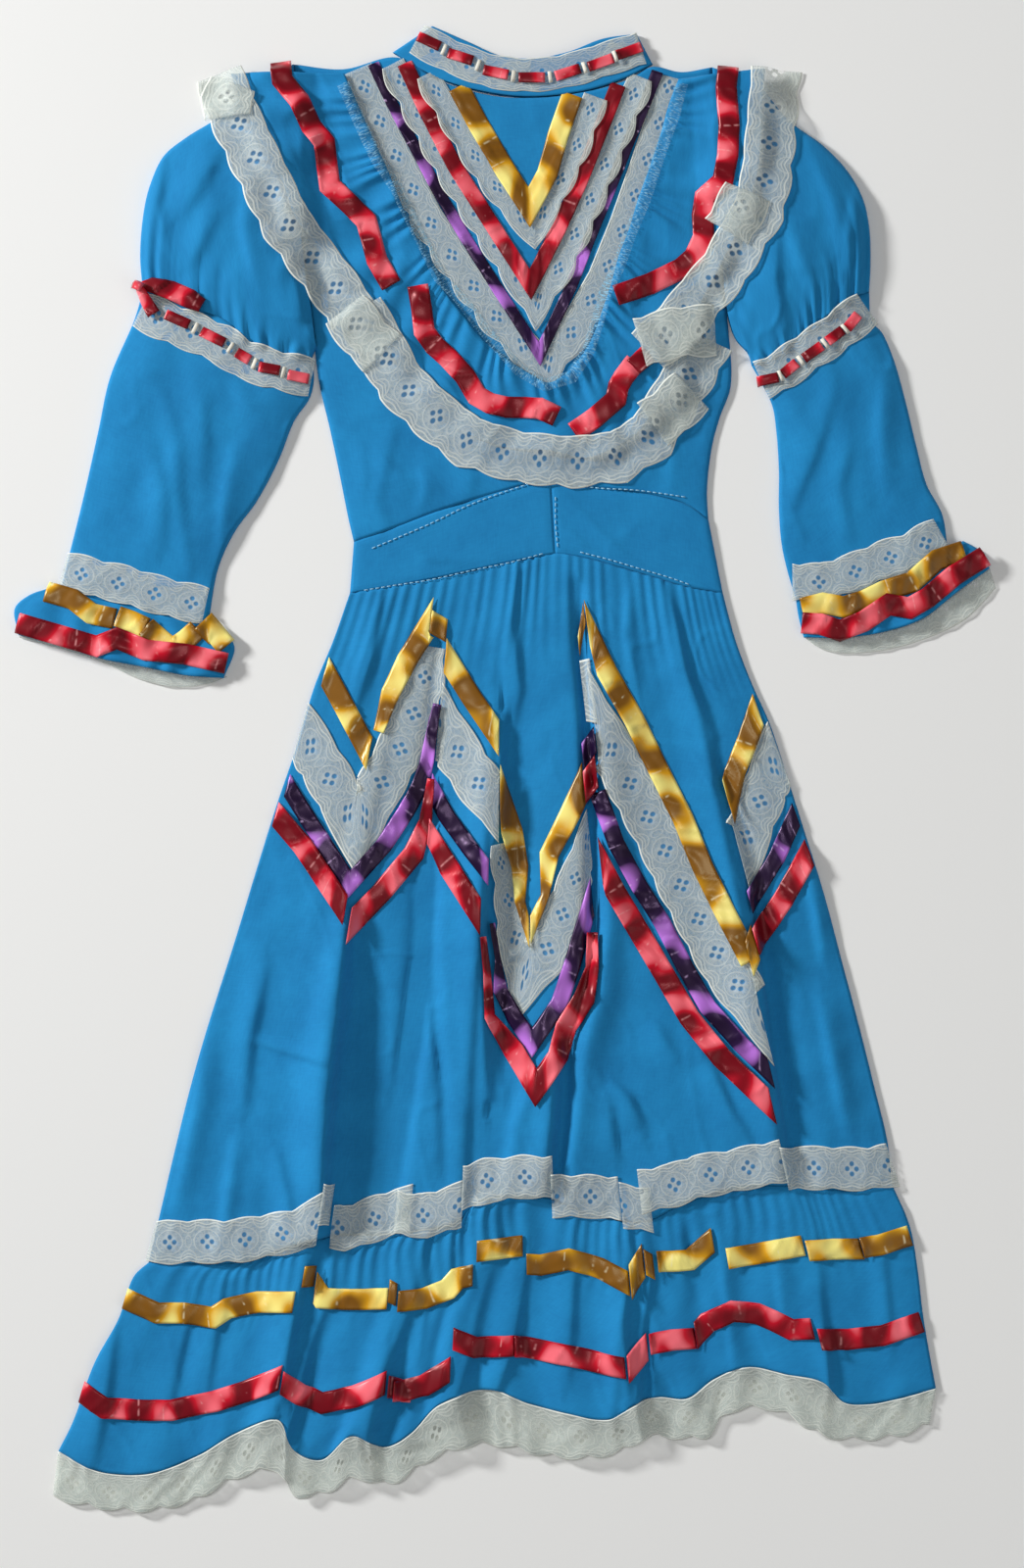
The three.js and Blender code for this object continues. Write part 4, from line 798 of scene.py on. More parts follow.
def lace():
    """Raschel knit lace of cotton and polyester, off-white and matt. Between its two scalloped edges runs a
    row of flowers, each four eyelets of 3.5 mm in a close square; a cord rounds each flower and each
    scallop, and the rest is a net that shows what lies beneath. Its meshes are 1 mm, drawn at 1.7 mm."""
    made, tree, shader, place = begin("raschel lace, knitted")
    parts = add(tree, "ShaderNodeSeparateXYZ", {0: place})
    along, away, share = parts.outputs

    def maths(operation, a, b=0.0, c=0.0):
        """One sum of up to three values."""
        return add(tree, "ShaderNodeMath", {0: a, 1: b, 2: c}, operation=operation).outputs[0]

    def step(value, low, high, start=0.0, end=1.0):
        """A straight ramp from start to end while the value goes from low to high."""
        return add(tree, "ShaderNodeMapRange", {"Value": value, "From Min": low, "From Max": high,
                                                "To Min": start, "To Max": end}).outputs[0]

    def distance(a, b):
        """The root of the sum of two squares."""
        return maths("SQRT", maths("ADD", maths("MULTIPLY", a, a), maths("MULTIPLY", b, b)))

    def cord(value, at, half, strength=1.0):
        """A line drawn where the value is near at: full within half of it, and fading over 0.9 more."""
        off = maths("ABSOLUTE", maths("SUBTRACT", value, at))
        return step(off, half, half + 0.9, strength, 0.0)

    def most(*values):
        """The greatest of several values."""
        top = values[0]
        for value in values[1:]:
            top = maths("MAXIMUM", top, value)
        return top

    x = maths("MULTIPLY", maths("SUBTRACT", maths("FRACT", maths("DIVIDE", along, SCALLOP)), 0.5), SCALLOP)
    middle = LACE_SHARES / 2
    y = maths("MULTIPLY", maths("SUBTRACT", share, middle), 0.8)
    near_x, near_y = maths("ABSOLUTE", x), maths("ABSOLUTE", y)
    across_hole = distance(maths("SUBTRACT", near_x, 3.6), y)
    along_hole = distance(x, maths("SUBTRACT", near_y, 3.6))
    # the eyelets are not cut fully clear: a tenth of the lace stays over them, a painted lightening of the
    # shade seen through them
    hole = step(maths("MINIMUM", across_hole, along_hole), 1.4, 2.3, 0.1, 1.0)
    ring = distance(maths("MULTIPLY", x, 0.85), y)
    far_x = maths("SUBTRACT", near_x, SCALLOP / 2)
    fan = distance(far_x, maths("SUBTRACT", near_y, 13.0))
    leaf = distance(maths("MULTIPLY", far_x, 1.5), maths("MULTIPLY", y, 0.75))
    edge = maths("ABSOLUTE", maths("SUBTRACT", share, middle))
    swing = maths("COSINE", maths("MULTIPLY", along, 4 * math.pi / SCALLOP))
    wavy = maths("ADD", edge, maths("MULTIPLY", swing, 1.1))
    cords = most(cord(ring, 8.6, 0.1, 0.5), cord(fan, 6.0, 0.2, 0.5), cord(leaf, 3.6, 0.2, 0.45),
                 cord(wavy, 13.4, 0.3, 0.5), cord(wavy, 16.2, 0.3, 0.6), step(edge, 18.4, 19.0, 0.0, 0.9))
    filled = most(step(distance(near_x, y), 5.2, 9.5, 0.42, 0.0), cords)
    net = maths("MULTIPLY", maths("SINE", maths("MULTIPLY", along, 3.7)),
                maths("SINE", maths("MULTIPLY", away, 3.7)))
    uneven = add(tree, "ShaderNodeTexNoise", {"Vector": place, "Scale": 0.5, "Detail": 1.0}).outputs[0]
    open_net = maths("MULTIPLY_ADD", uneven, 0.4, step(maths("ABSOLUTE", net), 0.1, 0.8, 0.2, 0.08))
    tree.links.new(maths("MULTIPLY", maths("MAXIMUM", filled, open_net), hole), shader.inputs["Alpha"])
    blotch = add(tree, "ShaderNodeTexNoise", {"Vector": place, "Scale": 0.3, "Detail": 2.0}).outputs[0]
    shade = maths("MULTIPLY_ADD", blotch, 0.6, maths("MULTIPLY", filled, 0.6))
    tint = add(tree, "ShaderNodeMix", {0: step(shade, 0.25, 0.95), 6: colour("#D0DAD6"),
                                       7: colour("#F0F3EA")}, data_type="RGBA").outputs[2]
    tree.links.new(tint, shader.inputs["Base Color"])
    bump = add(tree, "ShaderNodeBump", {"Height": filled, "Strength": 0.5, "Distance": 0.0005}).outputs[0]
    tree.links.new(bump, shader.inputs["Normal"])
    shader.inputs["Roughness"].default_value = 0.9
    shader.inputs["Specular IOR Level"].default_value = 0.2
    return made


def thread(name, tint):
    """Spun sewing thread or cord: matt, with no pattern large enough to show."""
    made, _, shader, _ = begin(name)
    shader.inputs["Base Color"].default_value = colour(tint)
    shader.inputs["Roughness"].default_value = 0.7
    return made


def loops():
    """A band of looped sewing thread over the gathers: pale blue loops, about 4 mm long, crossing each
    other, with the cloth showing between them."""
    made, tree, shader, place = begin("polyester thread, machine looped")
    turned = [add(tree, "ShaderNodeMapping", {"Vector": place, "Rotation": (0, 0, turn),
                                              "Scale": (1 / 0.9, 1 / 4, 0)}).outputs[0]
              for turn in (0.7, -0.8)]
    curls = [add(tree, "ShaderNodeTexNoise", {"Vector": way, "Scale": 1.0, "Detail": 1.0}).outputs[0]
             for way in turned]
    top = add(tree, "ShaderNodeMath", {0: curls[0], 1: curls[1]}, operation="MAXIMUM").outputs[0]
    shown = add(tree, "ShaderNodeMapRange", {"Value": top, "From Min": 0.56, "From Max": 0.7,
                                             "To Min": 0.04, "To Max": 0.55}).outputs[0]
    tree.links.new(shown, shader.inputs["Alpha"])
    shader.inputs["Base Color"].default_value = colour("#8CC8E6")
    shader.inputs["Roughness"].default_value = 0.8
    return made


materials = {
  "thread": thread("polyester sewing thread, spun", "#8CC4E2"),
  "cord": thread("cotton cord, plaited", "#E6E2D4"),
  "loops": loops(),
  "poplin": poplin(),
  # each satin: its painted shade, its middle tone, its painted highlight, the tint of its highlight and of
  # its painted crease lines, and the pitch of its bands
  "gold": satin("polyester satin ribbon, woven, gold", "#7E500A", "#D89C12", "#FFF08A", "#FFF8D0", 30),
  "red": satin("polyester satin ribbon, woven, red", "#700414", "#C80E28", "#FF7480", "#FFB4B4", 26),
  "purple": satin("metallic ribbon, woven, purple", "#140524", "#200A36", "#C47AE4", "#E6C4F6", 36),
  "lace": lace(),
}


# The dress's own forms
SKIRT_FOLDS = np.array([
  # share across at the top, share across at the foot, heights at the top, the middle and the foot
  [0, 0, 1.5, 1.5, 1.5],
  [0.06, 0.05, 2.5, 4, 4.5],
  [0.12, 0.12, 3, 6, 8],
  [0.15, 0.17, 3, 5, 7],
  [0.18, 0.232, 3, 8, 11],
  [0.195, 0.262, 3, 4.5, 4],
  [0.27, 0.316, 3, 3.5, 3],
  [0.35, 0.37, 3.5, 6, 7],
  [0.412, 0.41, 4, 8, 9],
  [0.424, 0.424, 4, 4, 5],
  [0.5, 0.47, 4, 6, 6],
  [0.57, 0.51, 5, 9, 9],
  [0.598, 0.53, 5, 10, 10],
  [0.606, 0.54, 4, 3, 4],
  [0.616, 0.552, 5, 9, 9],
  [0.66, 0.62, 4.5, 7, 6],
  [0.72, 0.7, 4, 8, 8],
  [0.79, 0.78, 3.5, 7, 8],
  [0.853, 0.852, 3.5, 10, 10],
  [0.861, 0.864, 3, 4, 4],
  [0.92, 0.92, 2.5, 5, 6],
  [1, 1, 1.5, 1.5, 1.5],
])
# Creases: height, reach on the left of the path, reach on its right, and the path. All run downwards, so
# that the left is the side towards +X.
SKIRT_CREASES = [
  # the long wedge left of the middle: a crest on its left, a trough on its right
  [9.5, 6, 26, [[-122, -112], [-124, -136], [-128, -187], [-134, -237], [-139, -297], [-143, -372]]],
  [-3.5, 20, 4, [[-117, -125], [-113, -162], [-114, -237], [-116, -297], [-120, -350]]],
  # two soft troughs beside each other
  [-5.0, 7, 11, [[-55, 20], [-58, -50], [-62, -125], [-66, -200], [-76, -260], [-84, -330]]],
  [-2.6, 6, 4, [[-55, -70], [-56, -130], [-54, -190], [-48, -250], [-46, -310]]],
  [-2.4, 5, 4, [[-70, -150], [-77, -210], [-86, -290], [-92, -340]]],
  # the cloth at the peak of the zigzag, drawn into a groove
  [-5.5, 3, 7, [[-50, 96], [-54, 40], [-58, -10], [-60, -50], [-60, -90]]],
  # the steep facet under the second stretch
  [7.0, 5, 20, [[-4, 40], [-5, -10], [-8, -50], [-15, -80], [-19, -125], [-18, -192], [-15, -250]]],
  [-3.0, 18, 4, [[3, 30], [3, -40], [1, -80], [-4, -125], [-4, -190], [0, -240]]],
  # the deep groove from the waist
  [-6.0, 4, 6, [[56, 140], [58, 100], [61, 60], [65, 18], [67, -60], [67, -132], [62, -170], [48, -207],
                [44, -260], [40, -310]]],
  [3.5, 14, 6, [[72, 110], [76, 40], [80, -40], [80, -120], [74, -170], [58, -220], [52, -300]]],
  [5.0, 5, 16, [[34, -195], [36, -230], [34, -270], [28, -320]]],
  # the lapped edge on the right
  [5.5, 3, 22, [[166, -20], [176, -60], [188, -120], [196, -175], [203, -230], [210, -275], [215, -308]]],
  [-3.0, 10, 3, [[171, -20], [181, -60], [193, -120], [201, -175], [208, -230], [216, -275], [221, -308]]],
  [2.8, 4, 12, [[121, 138], [130, 108], [138, 70], [157, 25], [158, -5]]],
  [1.0, 4, 7, [[136, -27], [138, -50]]],
  [3.2, 4, 14, [[78, -238], [93, -252], [104, -275]]],
  [1.6, 5, 11, [[110, -192], [132, -226]]],
  [3.2, 4, 14, [[154, -224], [172, -264], [184, -282]]],
  [2.0, 3, 10, [[78, -255], [85, -300]]],
  [1.8, 6, 3, [[-196, -207], [-162, -217], [-130, -225]]],
  [2.6, 4, 12, [[-96, 128], [-104, 84], [-118, 40]]],
  [2.4, 4, 11, [[8, 150], [4, 110], [10, 60], [4, 30]]],
  [1.5, 8, 4, [[96, 140], [92, 104], [98, 60]]],
  [3.0, 12, 6, [[-226, -190], [-236, -262], [-252, -340]]],
  [2.8, 5, 12, [[-184, -150], [-196, -206], [-200, -260]]],
  [2.2, 8, 5, [[-204, -280], [-212, -330], [-216, -366]]],
  [2.8, 5, 10, [[-176, -290], [-166, -330], [-164, -356]]],
  [2.8, 9, 5, [[20, -232], [8, -274], [2, -322]]],
  [2.8, 10, 5, [[240, -172], [250, -220], [262, -280]]],
  [2.4, 9, 4, [[228, -60], [238, -110], [244, -150]]],
]
BODICE_CREASES = [
  [2.0, 5, 14, [[-98, 238], [-80, 222], [-54, 214]]],
  [2.0, 12, 5, [[112, 250], [104, 228], [86, 216]]],
  [1.6, 10, 4, [[-64, 232], [-60, 214], [-66, 198]]],
  [1.6, 5, 12, [[-86, 262], [-92, 236], [-98, 204], [-92, 186]]],
  [1.2, 4, 9, [[-112, 250], [-108, 226], [-110, 200]]],
  [1.2, 9, 5, [[120, 262], [128, 236], [126, 208]]],
  [1.0, 5, 8, [[-30, 236], [-26, 222], [-30, 206]]],
]
FLOUNCE_FOLDS = [
  # share across, height, reach on the soft side
  (0.26, 8, 0.06),
  (0.37, 7, 0.05),
  (0.48, 8, 0.06),
  (0.64, 5, 0.05),
  (0.672, 8, 0.03),
  (0.878, 5, 0.06),
]
FLOUNCE_CREASES = [
  [5.0, 5, 22, [[-142, -350], [-158, -399], [-166, -440], [-172, -480]]],
  [-3.0, 16, 4, [[-136, -352], [-150, -399], [-158, -440], [-163, -480]]],
  [3.4, 4, 14, [[-90, -440], [-103, -494], [-112, -544]]],
  [3.6, 4, 14, [[16, -370], [5, -443], [-8, -475], [-21, -520]]],
  [4.6, 4, 16, [[92, -390], [90, -425], [92, -480]]],
  [-3.4, 8, 8, [[101, -384], [101, -430], [103, -500]]],
  [2.6, 12, 4, [[111, -384], [112, -430], [114, -504]]],
  [2.6, 4, 12, [[245, -430], [246, -469], [250, -505]]],
  [3.6, 5, 16, [[-299, -420], [-306, -476], [-316, -530]]],
  [-2.6, 9, 4, [[-231, -392], [-243, -445], [-254, -500]]],
  [2.6, 4, 12, [[-214, -380], [-222, -430], [-230, -480]]],
  [2.4, 4, 11, [[-58, -372], [-62, -410], [-70, -462]]],
  [2.8, 4, 13, [[52, -366], [50, -410], [46, -470]]],
  [2.6, 10, 4, [[164, -366], [170, -410], [176, -470]]],
  [2.2, 9, 4, [[205, -360], [210, -396], [214, -430]]],
  [2.2, 4, 9, [[284, -352], [290, -396], [294, -450]]],
  [-2.2, 5, 5, [[-28, -352], [-30, -380], [-36, -408]]],
  [-2.0, 5, 5, [[140, -350], [142, -380], [147, -404]]],
]


def seam_dip(u, v, wide, long, depth=0.5, reach=3.0):
    """The cloth drawn down along a seam: a bell-shaped dip over the distance from the nearest edge."""
    near = np.minimum(np.minimum(u, 1 - u) * wide, np.minimum(v, 1 - v) * long)
    return depth * np.exp(-((near / reach) ** 2))


def rumple(x, y, seed):
    """Small wrinkles of laid cotton: three soft reliefs, each quicker than the one before, and a few sharper
    ridges where a fourth crosses nought."""
    slow = 0.5 * noise(x / 31, y / 43, seed) + 0.22 * noise(x / 12, y / 17, seed + 1)
    slow = slow + 0.1 * noise(x / 5.5 + y / 30, y / 8, seed + 4)
    ridge = np.exp(-((noise(x / 27 + y / 90, y / 40, seed + 2) / 0.09) ** 2))
    return slow + 0.6 * ridge * (0.5 + 0.5 * noise(x / 50, y / 50, seed + 3))


def flat_back(node, surface, across, along, z, finish, wall=POPLIN):
    """A back panel that lies flat on the floor."""
    u, v = shares(across, along)
    plan = surface(u, v)
    points = with_height(plan, np.full(u.shape, z))
    return piece(node, points, lay_of(points), wall, finish)


# Backs
bodice_plan = patch(SHOULDERS, BODICE_WAIST, BODICE_LEFT, BODICE_RIGHT)
skirt_plan = patch(SKIRT_TOP, SKIRT_FOOT, SKIRT_LEFT, SKIRT_RIGHT)
flounce_plan = patch(SKIRT_FOOT, HEM, FLOUNCE_LEFT, FLOUNCE_RIGHT)
hem_plan = patch(HEM, HEM_EDGE, [HEM[0], HEM_EDGE[0]], [HEM[-1], HEM_EDGE[-1]])
back_plan = patch(SHOULDERS, SKIRT_TOP, BODICE_LEFT + [SKIRT_TOP[0]], BODICE_RIGHT + [SKIRT_TOP[-1]])
flat_back("bodice_back", back_plan, 40, 50, CLOTH, "poplin")
flat_back("skirt_back", skirt_plan, 50, 56, CLOTH, "poplin")
flat_back("flounce_back", flounce_plan, 120, 24, CLOTH, "poplin")


def scalloped(plan):
    """A plan whose foot is drawn in between its scallops, which are the size of a sine with no sign."""
    def surface(u, v):
        """The plan's points, moved towards the collar by what lacks to the sine's greatest size."""
        points = plan(u, v)
        points[..., 1] += SCALLOP_DEPTH * v * (1 - np.abs(np.sin(np.pi * u * HEM_LONG / SCALLOP)))
        return points
    return surface


flat_back("hem_lace_back", scalloped(hem_plan), 340, 10, TRIM, "lace", LACE)

# Bodice
u, v = shares(104, 126)
plan = bodice_plan(u, v)
x, y = plan[..., 0], plan[..., 1]
height = FRONT + 3 * rise(u) + 1.5 * wave(5 * u) * np.maximum(v - 0.7, 0) + CLOTH
height += creases(x, y, BODICE_CREASES) + 0.7 * rumple(x, y, 3) - seam_dip(u, v, 290, 350)
panel("bodice_front", plan, height)

# Waistband
CENTRE = [[35, 218], [38, 164]]
BAND_CREASES = [
  [0.9, 3, 8, [[44, 209], [85, 168], [114, 146]]],
  [0.8, 3, 7, [[46, 183], [63, 168]]],
  [0.9, 6, 3, [[-84, 176], [-60, 160], [-30, 158]]],
]
bands = {
  "left": (BAND_LEFT_TOP, BAND_LEFT_FOOT, [BAND_LEFT_TOP[0], BAND_LEFT_FOOT[0]], CENTRE, 0.0),
  "right": (BAND_RIGHT_TOP, BAND_RIGHT_FOOT, CENTRE, [BAND_RIGHT_TOP[-1], BAND_RIGHT_FOOT[-1]], 0.5),
}
for side, (top, foot, left, right, start) in bands.items():
    u, v = shares(64, 26)
    plan = patch(top, foot, left, right)(u, v)
    x, y = plan[..., 0], plan[..., 1]
    height = FRONT + 3 * rise(start + u / 2) + CLOTH + 0.5 - seam_dip(u, v, 140, 50, 0.7)
    height += creases(x, y, BAND_CREASES) + 0.5 * rumple(x, y, 11)
    band = with_height(plan, height)
    lay_down(band)
    rows = [row for row in TOPSTITCHES if (row[0][0] < CENTRE[0][0]) == (side == "left")]
    sewn = stitches("waistband_stitches_" + side, rows)
    piece("waistband_" + side, band, lay_of(band), POPLIN, "poplin")

# Skirt
LEAST = 2 * CLOTH  # the front never sinks into the back
u, v = shares(200, 218)
plan = skirt_plan(u, v)
x, y = plan[..., 0], plan[..., 1]
tops, feet, at_top, at_middle, at_foot = SKIRT_FOLDS.T
height = np.empty(u.shape)
for j, share in enumerate(v[:, 0]):
    low, high = smooth(0, 0.5, share), smooth(0.5, 1, share)
    ridge = at_top + (at_middle - at_top) * low + (at_foot - at_middle) * high
    height[j] = np.interp(u[j], tops + (feet - tops) * share**3, ridge)
soft = np.array([1, 3, 4, 3, 1]) / 12
edged = np.pad(height, ((0, 0), (2, 2)), mode="edge")
height = sum(weight * edged[:, i:i + height.shape[1]] for i, weight in enumerate(soft))
height += CLOTH + 1.4 * creases(x, y, SKIRT_CREASES) + 1.3 * rumple(x, y, 21) * smooth(0, 0.1, v)
gathers = wave(34 * u + 0.8 * noise(u * 9, v * 2, 5)) * (0.6 + 0.4 * noise(u * 30, v * 3, 6))
height += 1.5 * gathers * (1 - smooth(0.02, 0.22, v)) - seam_dip(u, v, 420, 500)
panel("skirt_front", plan, np.maximum(height, LEAST))

# Flounce
u, v = shares(300, 60)
plan = flounce_plan(u, v)
x, y = plan[..., 0], plan[..., 1]


def flounce_height(u, v):
    """The gathers, which open towards the hem, and on them the larger folds, steep on one side."""
    gathers = wave(16 * u + 0.5 * noise(u * 6, v * 1.5, 8))
    height = FRONT + 3 * rise(u) + (1.2 + 1.6 * v) * gathers * rise(u)
    for at, tall, reach in FLOUNCE_FOLDS:
        side = (u - at) / np.where(u < at, reach, reach / 5)
        height = height + tall * (0.3 + 0.7 * v) * np.exp(-side * side)
    return height


tucks = wave(58 * u + 1.2 * noise(u * 14, v * 1.5, 9)) * (0.6 + 0.4 * noise(u * 50, v * 2, 10))
height = flounce_height(u, v) + CLOTH + 2.4 * tucks * (1 - smooth(0.03, 0.5, v)) * rise(u)
height += creases(x, y, FLOUNCE_CREASES) + 1.1 * rumple(x, y, 31) - seam_dip(u, v, 600, 160)
panel("flounce_front", plan, np.maximum(height, LEAST))

u, v = shares(480, 16)
plan = scalloped(hem_plan)(u, v)
height = flounce_height(u, np.ones_like(u)) * (1 - 0.3 * v) + 1.5 + 0.8 * wave(31 * u + noise(u * 20, v, 12))
hem = with_height(plan, height)
hem_lay = lay_of(hem, v * LACE_SHARES)
piece("hem_lace_front", hem, hem_lay, LACE, "lace")


# Sleeves, cuffs and collar are tubes pressed flat
def tube(surface, across, along, height):
    """A flattened tube: across the front from edge to edge, and back beneath. The shares crowd towards the
    edges, where the front's height leaves the middle of the edge along a quarter of a circle, as the back's
    does below. Returns the ring of points and the front's grid."""
    t, v = shares(across, along)
    u = 0.5 - 0.5 * np.cos(np.pi * t)
    plan = surface(u, v)
    front_low = TUBE_EDGE / 2
    away = np.minimum(u, 1 - u) * np.linalg.norm(plan[:, -1] - plan[:, 0], axis=1)[:, None]
    round_edge = np.sqrt(1 - (1 - np.minimum(away / EDGE_REACH, 1)) ** 2)
    front = with_height(plan, front_low + (height(u, v, plan) - front_low) * round_edge)
    back = with_height(plan, front_low - front_low * round_edge)
    ring = np.concatenate([front, back[:, -2:0:-1]], axis=1)
    return ring, front


def tube_lay(ring):
    """Where each point of a tube lies on its cloth: the way round from the first, and the way along."""
    closed = np.concatenate([ring, ring[:, :1]], axis=1)
    steps = np.linalg.norm(np.diff(closed, axis=1), axis=2)
    across = np.concatenate([np.zeros((len(ring), 1)), np.cumsum(steps, axis=1)[:, :-1]], axis=1)
    return np.stack([across, lengths(ring)[1], np.zeros_like(across)], -1)


def pressed(node, edges, across, along, height):
    """A tube of poplin between four edges, pressed flat on the floor."""
    ring, front = tube(patch(*edges), across, along, height)
    piece(node, ring, tube_lay(ring), POPLIN, "poplin", closed=True, flip=True)
    lay_down(front)


SLEEVE_CREASES = {
  "left": [
    [2.6, 6, 16, [[-218, 475], [-237, 438], [-248, 423]]],
    [2.0, 5, 14, [[-220, 427], [-233, 397], [-244, 382]]],
    [2.2, 5, 14, [[-181, 408], [-162, 370], [-154, 340], [-146, 320]]],
    [1.5, 4, 9, [[-263, 288], [-250, 243], [-250, 213], [-247, 183], [-241, 153]]],
    [1.3, 4, 9, [[-230, 288], [-231, 205]]],
    [1.3, 9, 4, [[-207, 295], [-194, 270]]],
    [2.4, 9, 5, [[-176, 462], [-168, 430], [-170, 400]]],
    [2.2, 5, 12, [[-262, 470], [-266, 432], [-260, 396]]],
    [2.0, 9, 5, [[-196, 452], [-198, 410], [-190, 372]]],
    [1.8, 5, 11, [[-272, 250], [-262, 210], [-264, 170]]],
    [1.6, 9, 4, [[-206, 246], [-214, 206], [-218, 164]]],
  ],
  "right": [
    [1.8, 5, 12, [[250, 288], [236, 243], [217, 198], [224, 180]]],
    [2.2, 12, 5, [[196, 452], [216, 410], [230, 372], [236, 352]]],
    [1.8, 10, 5, [[232, 470], [250, 432], [256, 396]]],
    [1.6, 10, 5, [[290, 300], [286, 256], [290, 206]]],
    [2.2, 5, 12, [[206, 412], [204, 372], [212, 338]]],
    [2.0, 10, 5, [[268, 440], [262, 404], [266, 368]]],
    [1.8, 5, 11, [[262, 250], [254, 214], [262, 172]]],
  ],
}
SLEEVES = {
  "left": {
    "puff": [PUFF_LEFT_HEAD, BAND_SEAM_LEFT, PUFF_LEFT_OUTER, PUFF_LEFT_UNDER],
    "lower": [BAND_SEAM_LEFT, SLEEVE_LEFT_WRIST, LOWER_LEFT_OUTER, LOWER_LEFT_UNDER],
    "cuff": [CUFF_LEFT_TOP, CUFF_LEFT_FOOT, CUFF_LEFT_OUTER, CUFF_LEFT_INNER],
    "band": SLEEVE_BAND_LEFT, "lace": CUFF_LACE_LEFT, "gold": CUFF_GOLD_LEFT, "red": CUFF_RED_LEFT,
    "edge": CUFF_LEFT_EDGE, "dashes": BAND_DASHES_LEFT,
  },
  "right": {
    "puff": [PUFF_RIGHT_HEAD, BAND_SEAM_RIGHT, PUFF_RIGHT_OUTER, PUFF_RIGHT_UNDER],
    "lower": [BAND_SEAM_RIGHT, SLEEVE_RIGHT_WRIST, LOWER_RIGHT_OUTER, LOWER_RIGHT_UNDER],
    "cuff": [CUFF_RIGHT_TOP, CUFF_RIGHT_FOOT, CUFF_RIGHT_OUTER, CUFF_RIGHT_INNER],
    "band": SLEEVE_BAND_RIGHT, "lace": CUFF_LACE_RIGHT, "gold": [CUFF_GOLD_RIGHT],
    "red": CUFF_RED_RIGHT, "edge": CUFF_RIGHT_EDGE, "dashes": BAND_DASHES_RIGHT,
  },
}


def puff_height(side, seed):
    """A puff: a dome, with pleats that deepen towards both seams and finer ones towards the band."""
    def height(u, v, plan):
        """The puff's height in mm at shares u across and v along."""
        x, y = plan[..., 0], plan[..., 1]
        dome = TUBE_EDGE + 11 * rise(u) * np.sin(np.pi * (0.12 + 0.76 * v))
        pleats = 2.6 * wave(8 * u + 0.5 * noise(u * 7, v * 2, seed)) * np.abs(2 * v - 1) ** 1.6
        fine = 2.4 * wave(21 * u + noise(u * 9, v, seed + 1)) * np.maximum(2 * v - 1.2, 0) ** 1.2
        worn = 1.3 * creases(x, y, SLEEVE_CREASES[side])
        return dome + pleats + fine + worn + 1.4 * rumple(x, y, seed + 2)
    return height


def lower_height(side, seed):
    """A lower sleeve: a low dome that sinks towards the wrist, with three soft waves from the gathers
    above."""
    def height(u, v, plan):
        """The lower sleeve's height in mm at shares u across and v along."""
        x, y = plan[..., 0], plan[..., 1]
        body = TUBE_EDGE + (5 - 2 * v) * rise(u) + 1.5 * wave(3 * u) * (1 - v)
        return body + 1.3 * creases(x, y, SLEEVE_CREASES[side]) + 1.3 * rumple(x, y, seed)
    return height


def cuff_height(seed):
    """A cuff flounce: a low dome with waves that deepen towards its edge."""
    def height(u, v, plan):
        """The flounce's height in mm at shares u across and v along."""
        x, y = plan[..., 0], plan[..., 1]
        turns = 6 * u + 0.5 * noise(u * 5, v, seed)
        return TUBE_EDGE + 3 * rise(u) + (0.8 + 2 * v) * wave(turns) + 0.5 * rumple(x, y, seed)
    return height


def trim(node, stretches, width, finish, rests_on, held="laid", across=8, puff=0.0, reach=3, edges=(0, 0),
         upright=False, lift=0.0, stands=True):
    """A trim sewn along one or more middle lines: strips that rest on the ground, a little proud between
    their two rows of sewing, with crinkles slanting across. Edges gives the depth of the scallops along the
    left and the right side."""
    wall = SATIN if finish in SATINS else LACE
    seed = sum(map(ord, node))
    grids, lays, before = [], [], 0
    for middle in stretches:
        plan, along, share = strip(middle, width, 2.0, across, upright)
        along = along + before
        swell = np.abs(np.sin(np.pi * along / SCALLOP))
        out = plan[:1] - plan[-1:]
        out = out / np.linalg.norm(out, axis=2, keepdims=True)
        depth = (edges[0] * np.maximum(1 - 2 * share, 0) - edges[1] * np.maximum(2 * share - 1, 0)) * swell
        plan = plan + out * depth[..., None]
        slant = along + 0.5 * width * share
        crinkle = 0.5 + 0.5 * noise(slant / 8, share * 1.2, seed)
        sharp = np.exp(-((noise(slant / 13, share * 0.5, seed + 1) / 0.16) ** 2))
        tilt = 0.5 * share * (1 + noise(along / 19, 0, seed + 2))
        proud = puff * (crinkle * 4 * share * (1 - share) + 0.7 * sharp + tilt)
        height = over(plan[..., 0], plan[..., 1], reach) + GAP + wall + lift + proud
        grids.append(with_height(plan, height))
        lays.append(np.stack([along, (share - 0.5) * width, share * LACE_SHARES], -1))
        before = along[0, -1] + 7
        lay_down(grids[-1], 3)
    return piece(node, grids, lays, wall, finish, stands=stands)


def bars(name, dashes, long=9.0, wide=2.6):
    """The bars of the lace, under which the threaded ribbon passes: one across each gap between its
    pieces."""
    paths = []
    for (start, end), (after, far) in zip(np.array(dashes[:-1], float), np.array(dashes[1:], float)):
        middle, way = (end + after) / 2, (far - start) / np.linalg.norm(far - start)
        out = np.array([-way[1], way[0]]) * long / 2
        paths.append(np.stack([middle - out, middle, middle + out]))
    return stitches(name, paths, long=long - 0.2, wide=wide, thick=0.6, finish="cord")


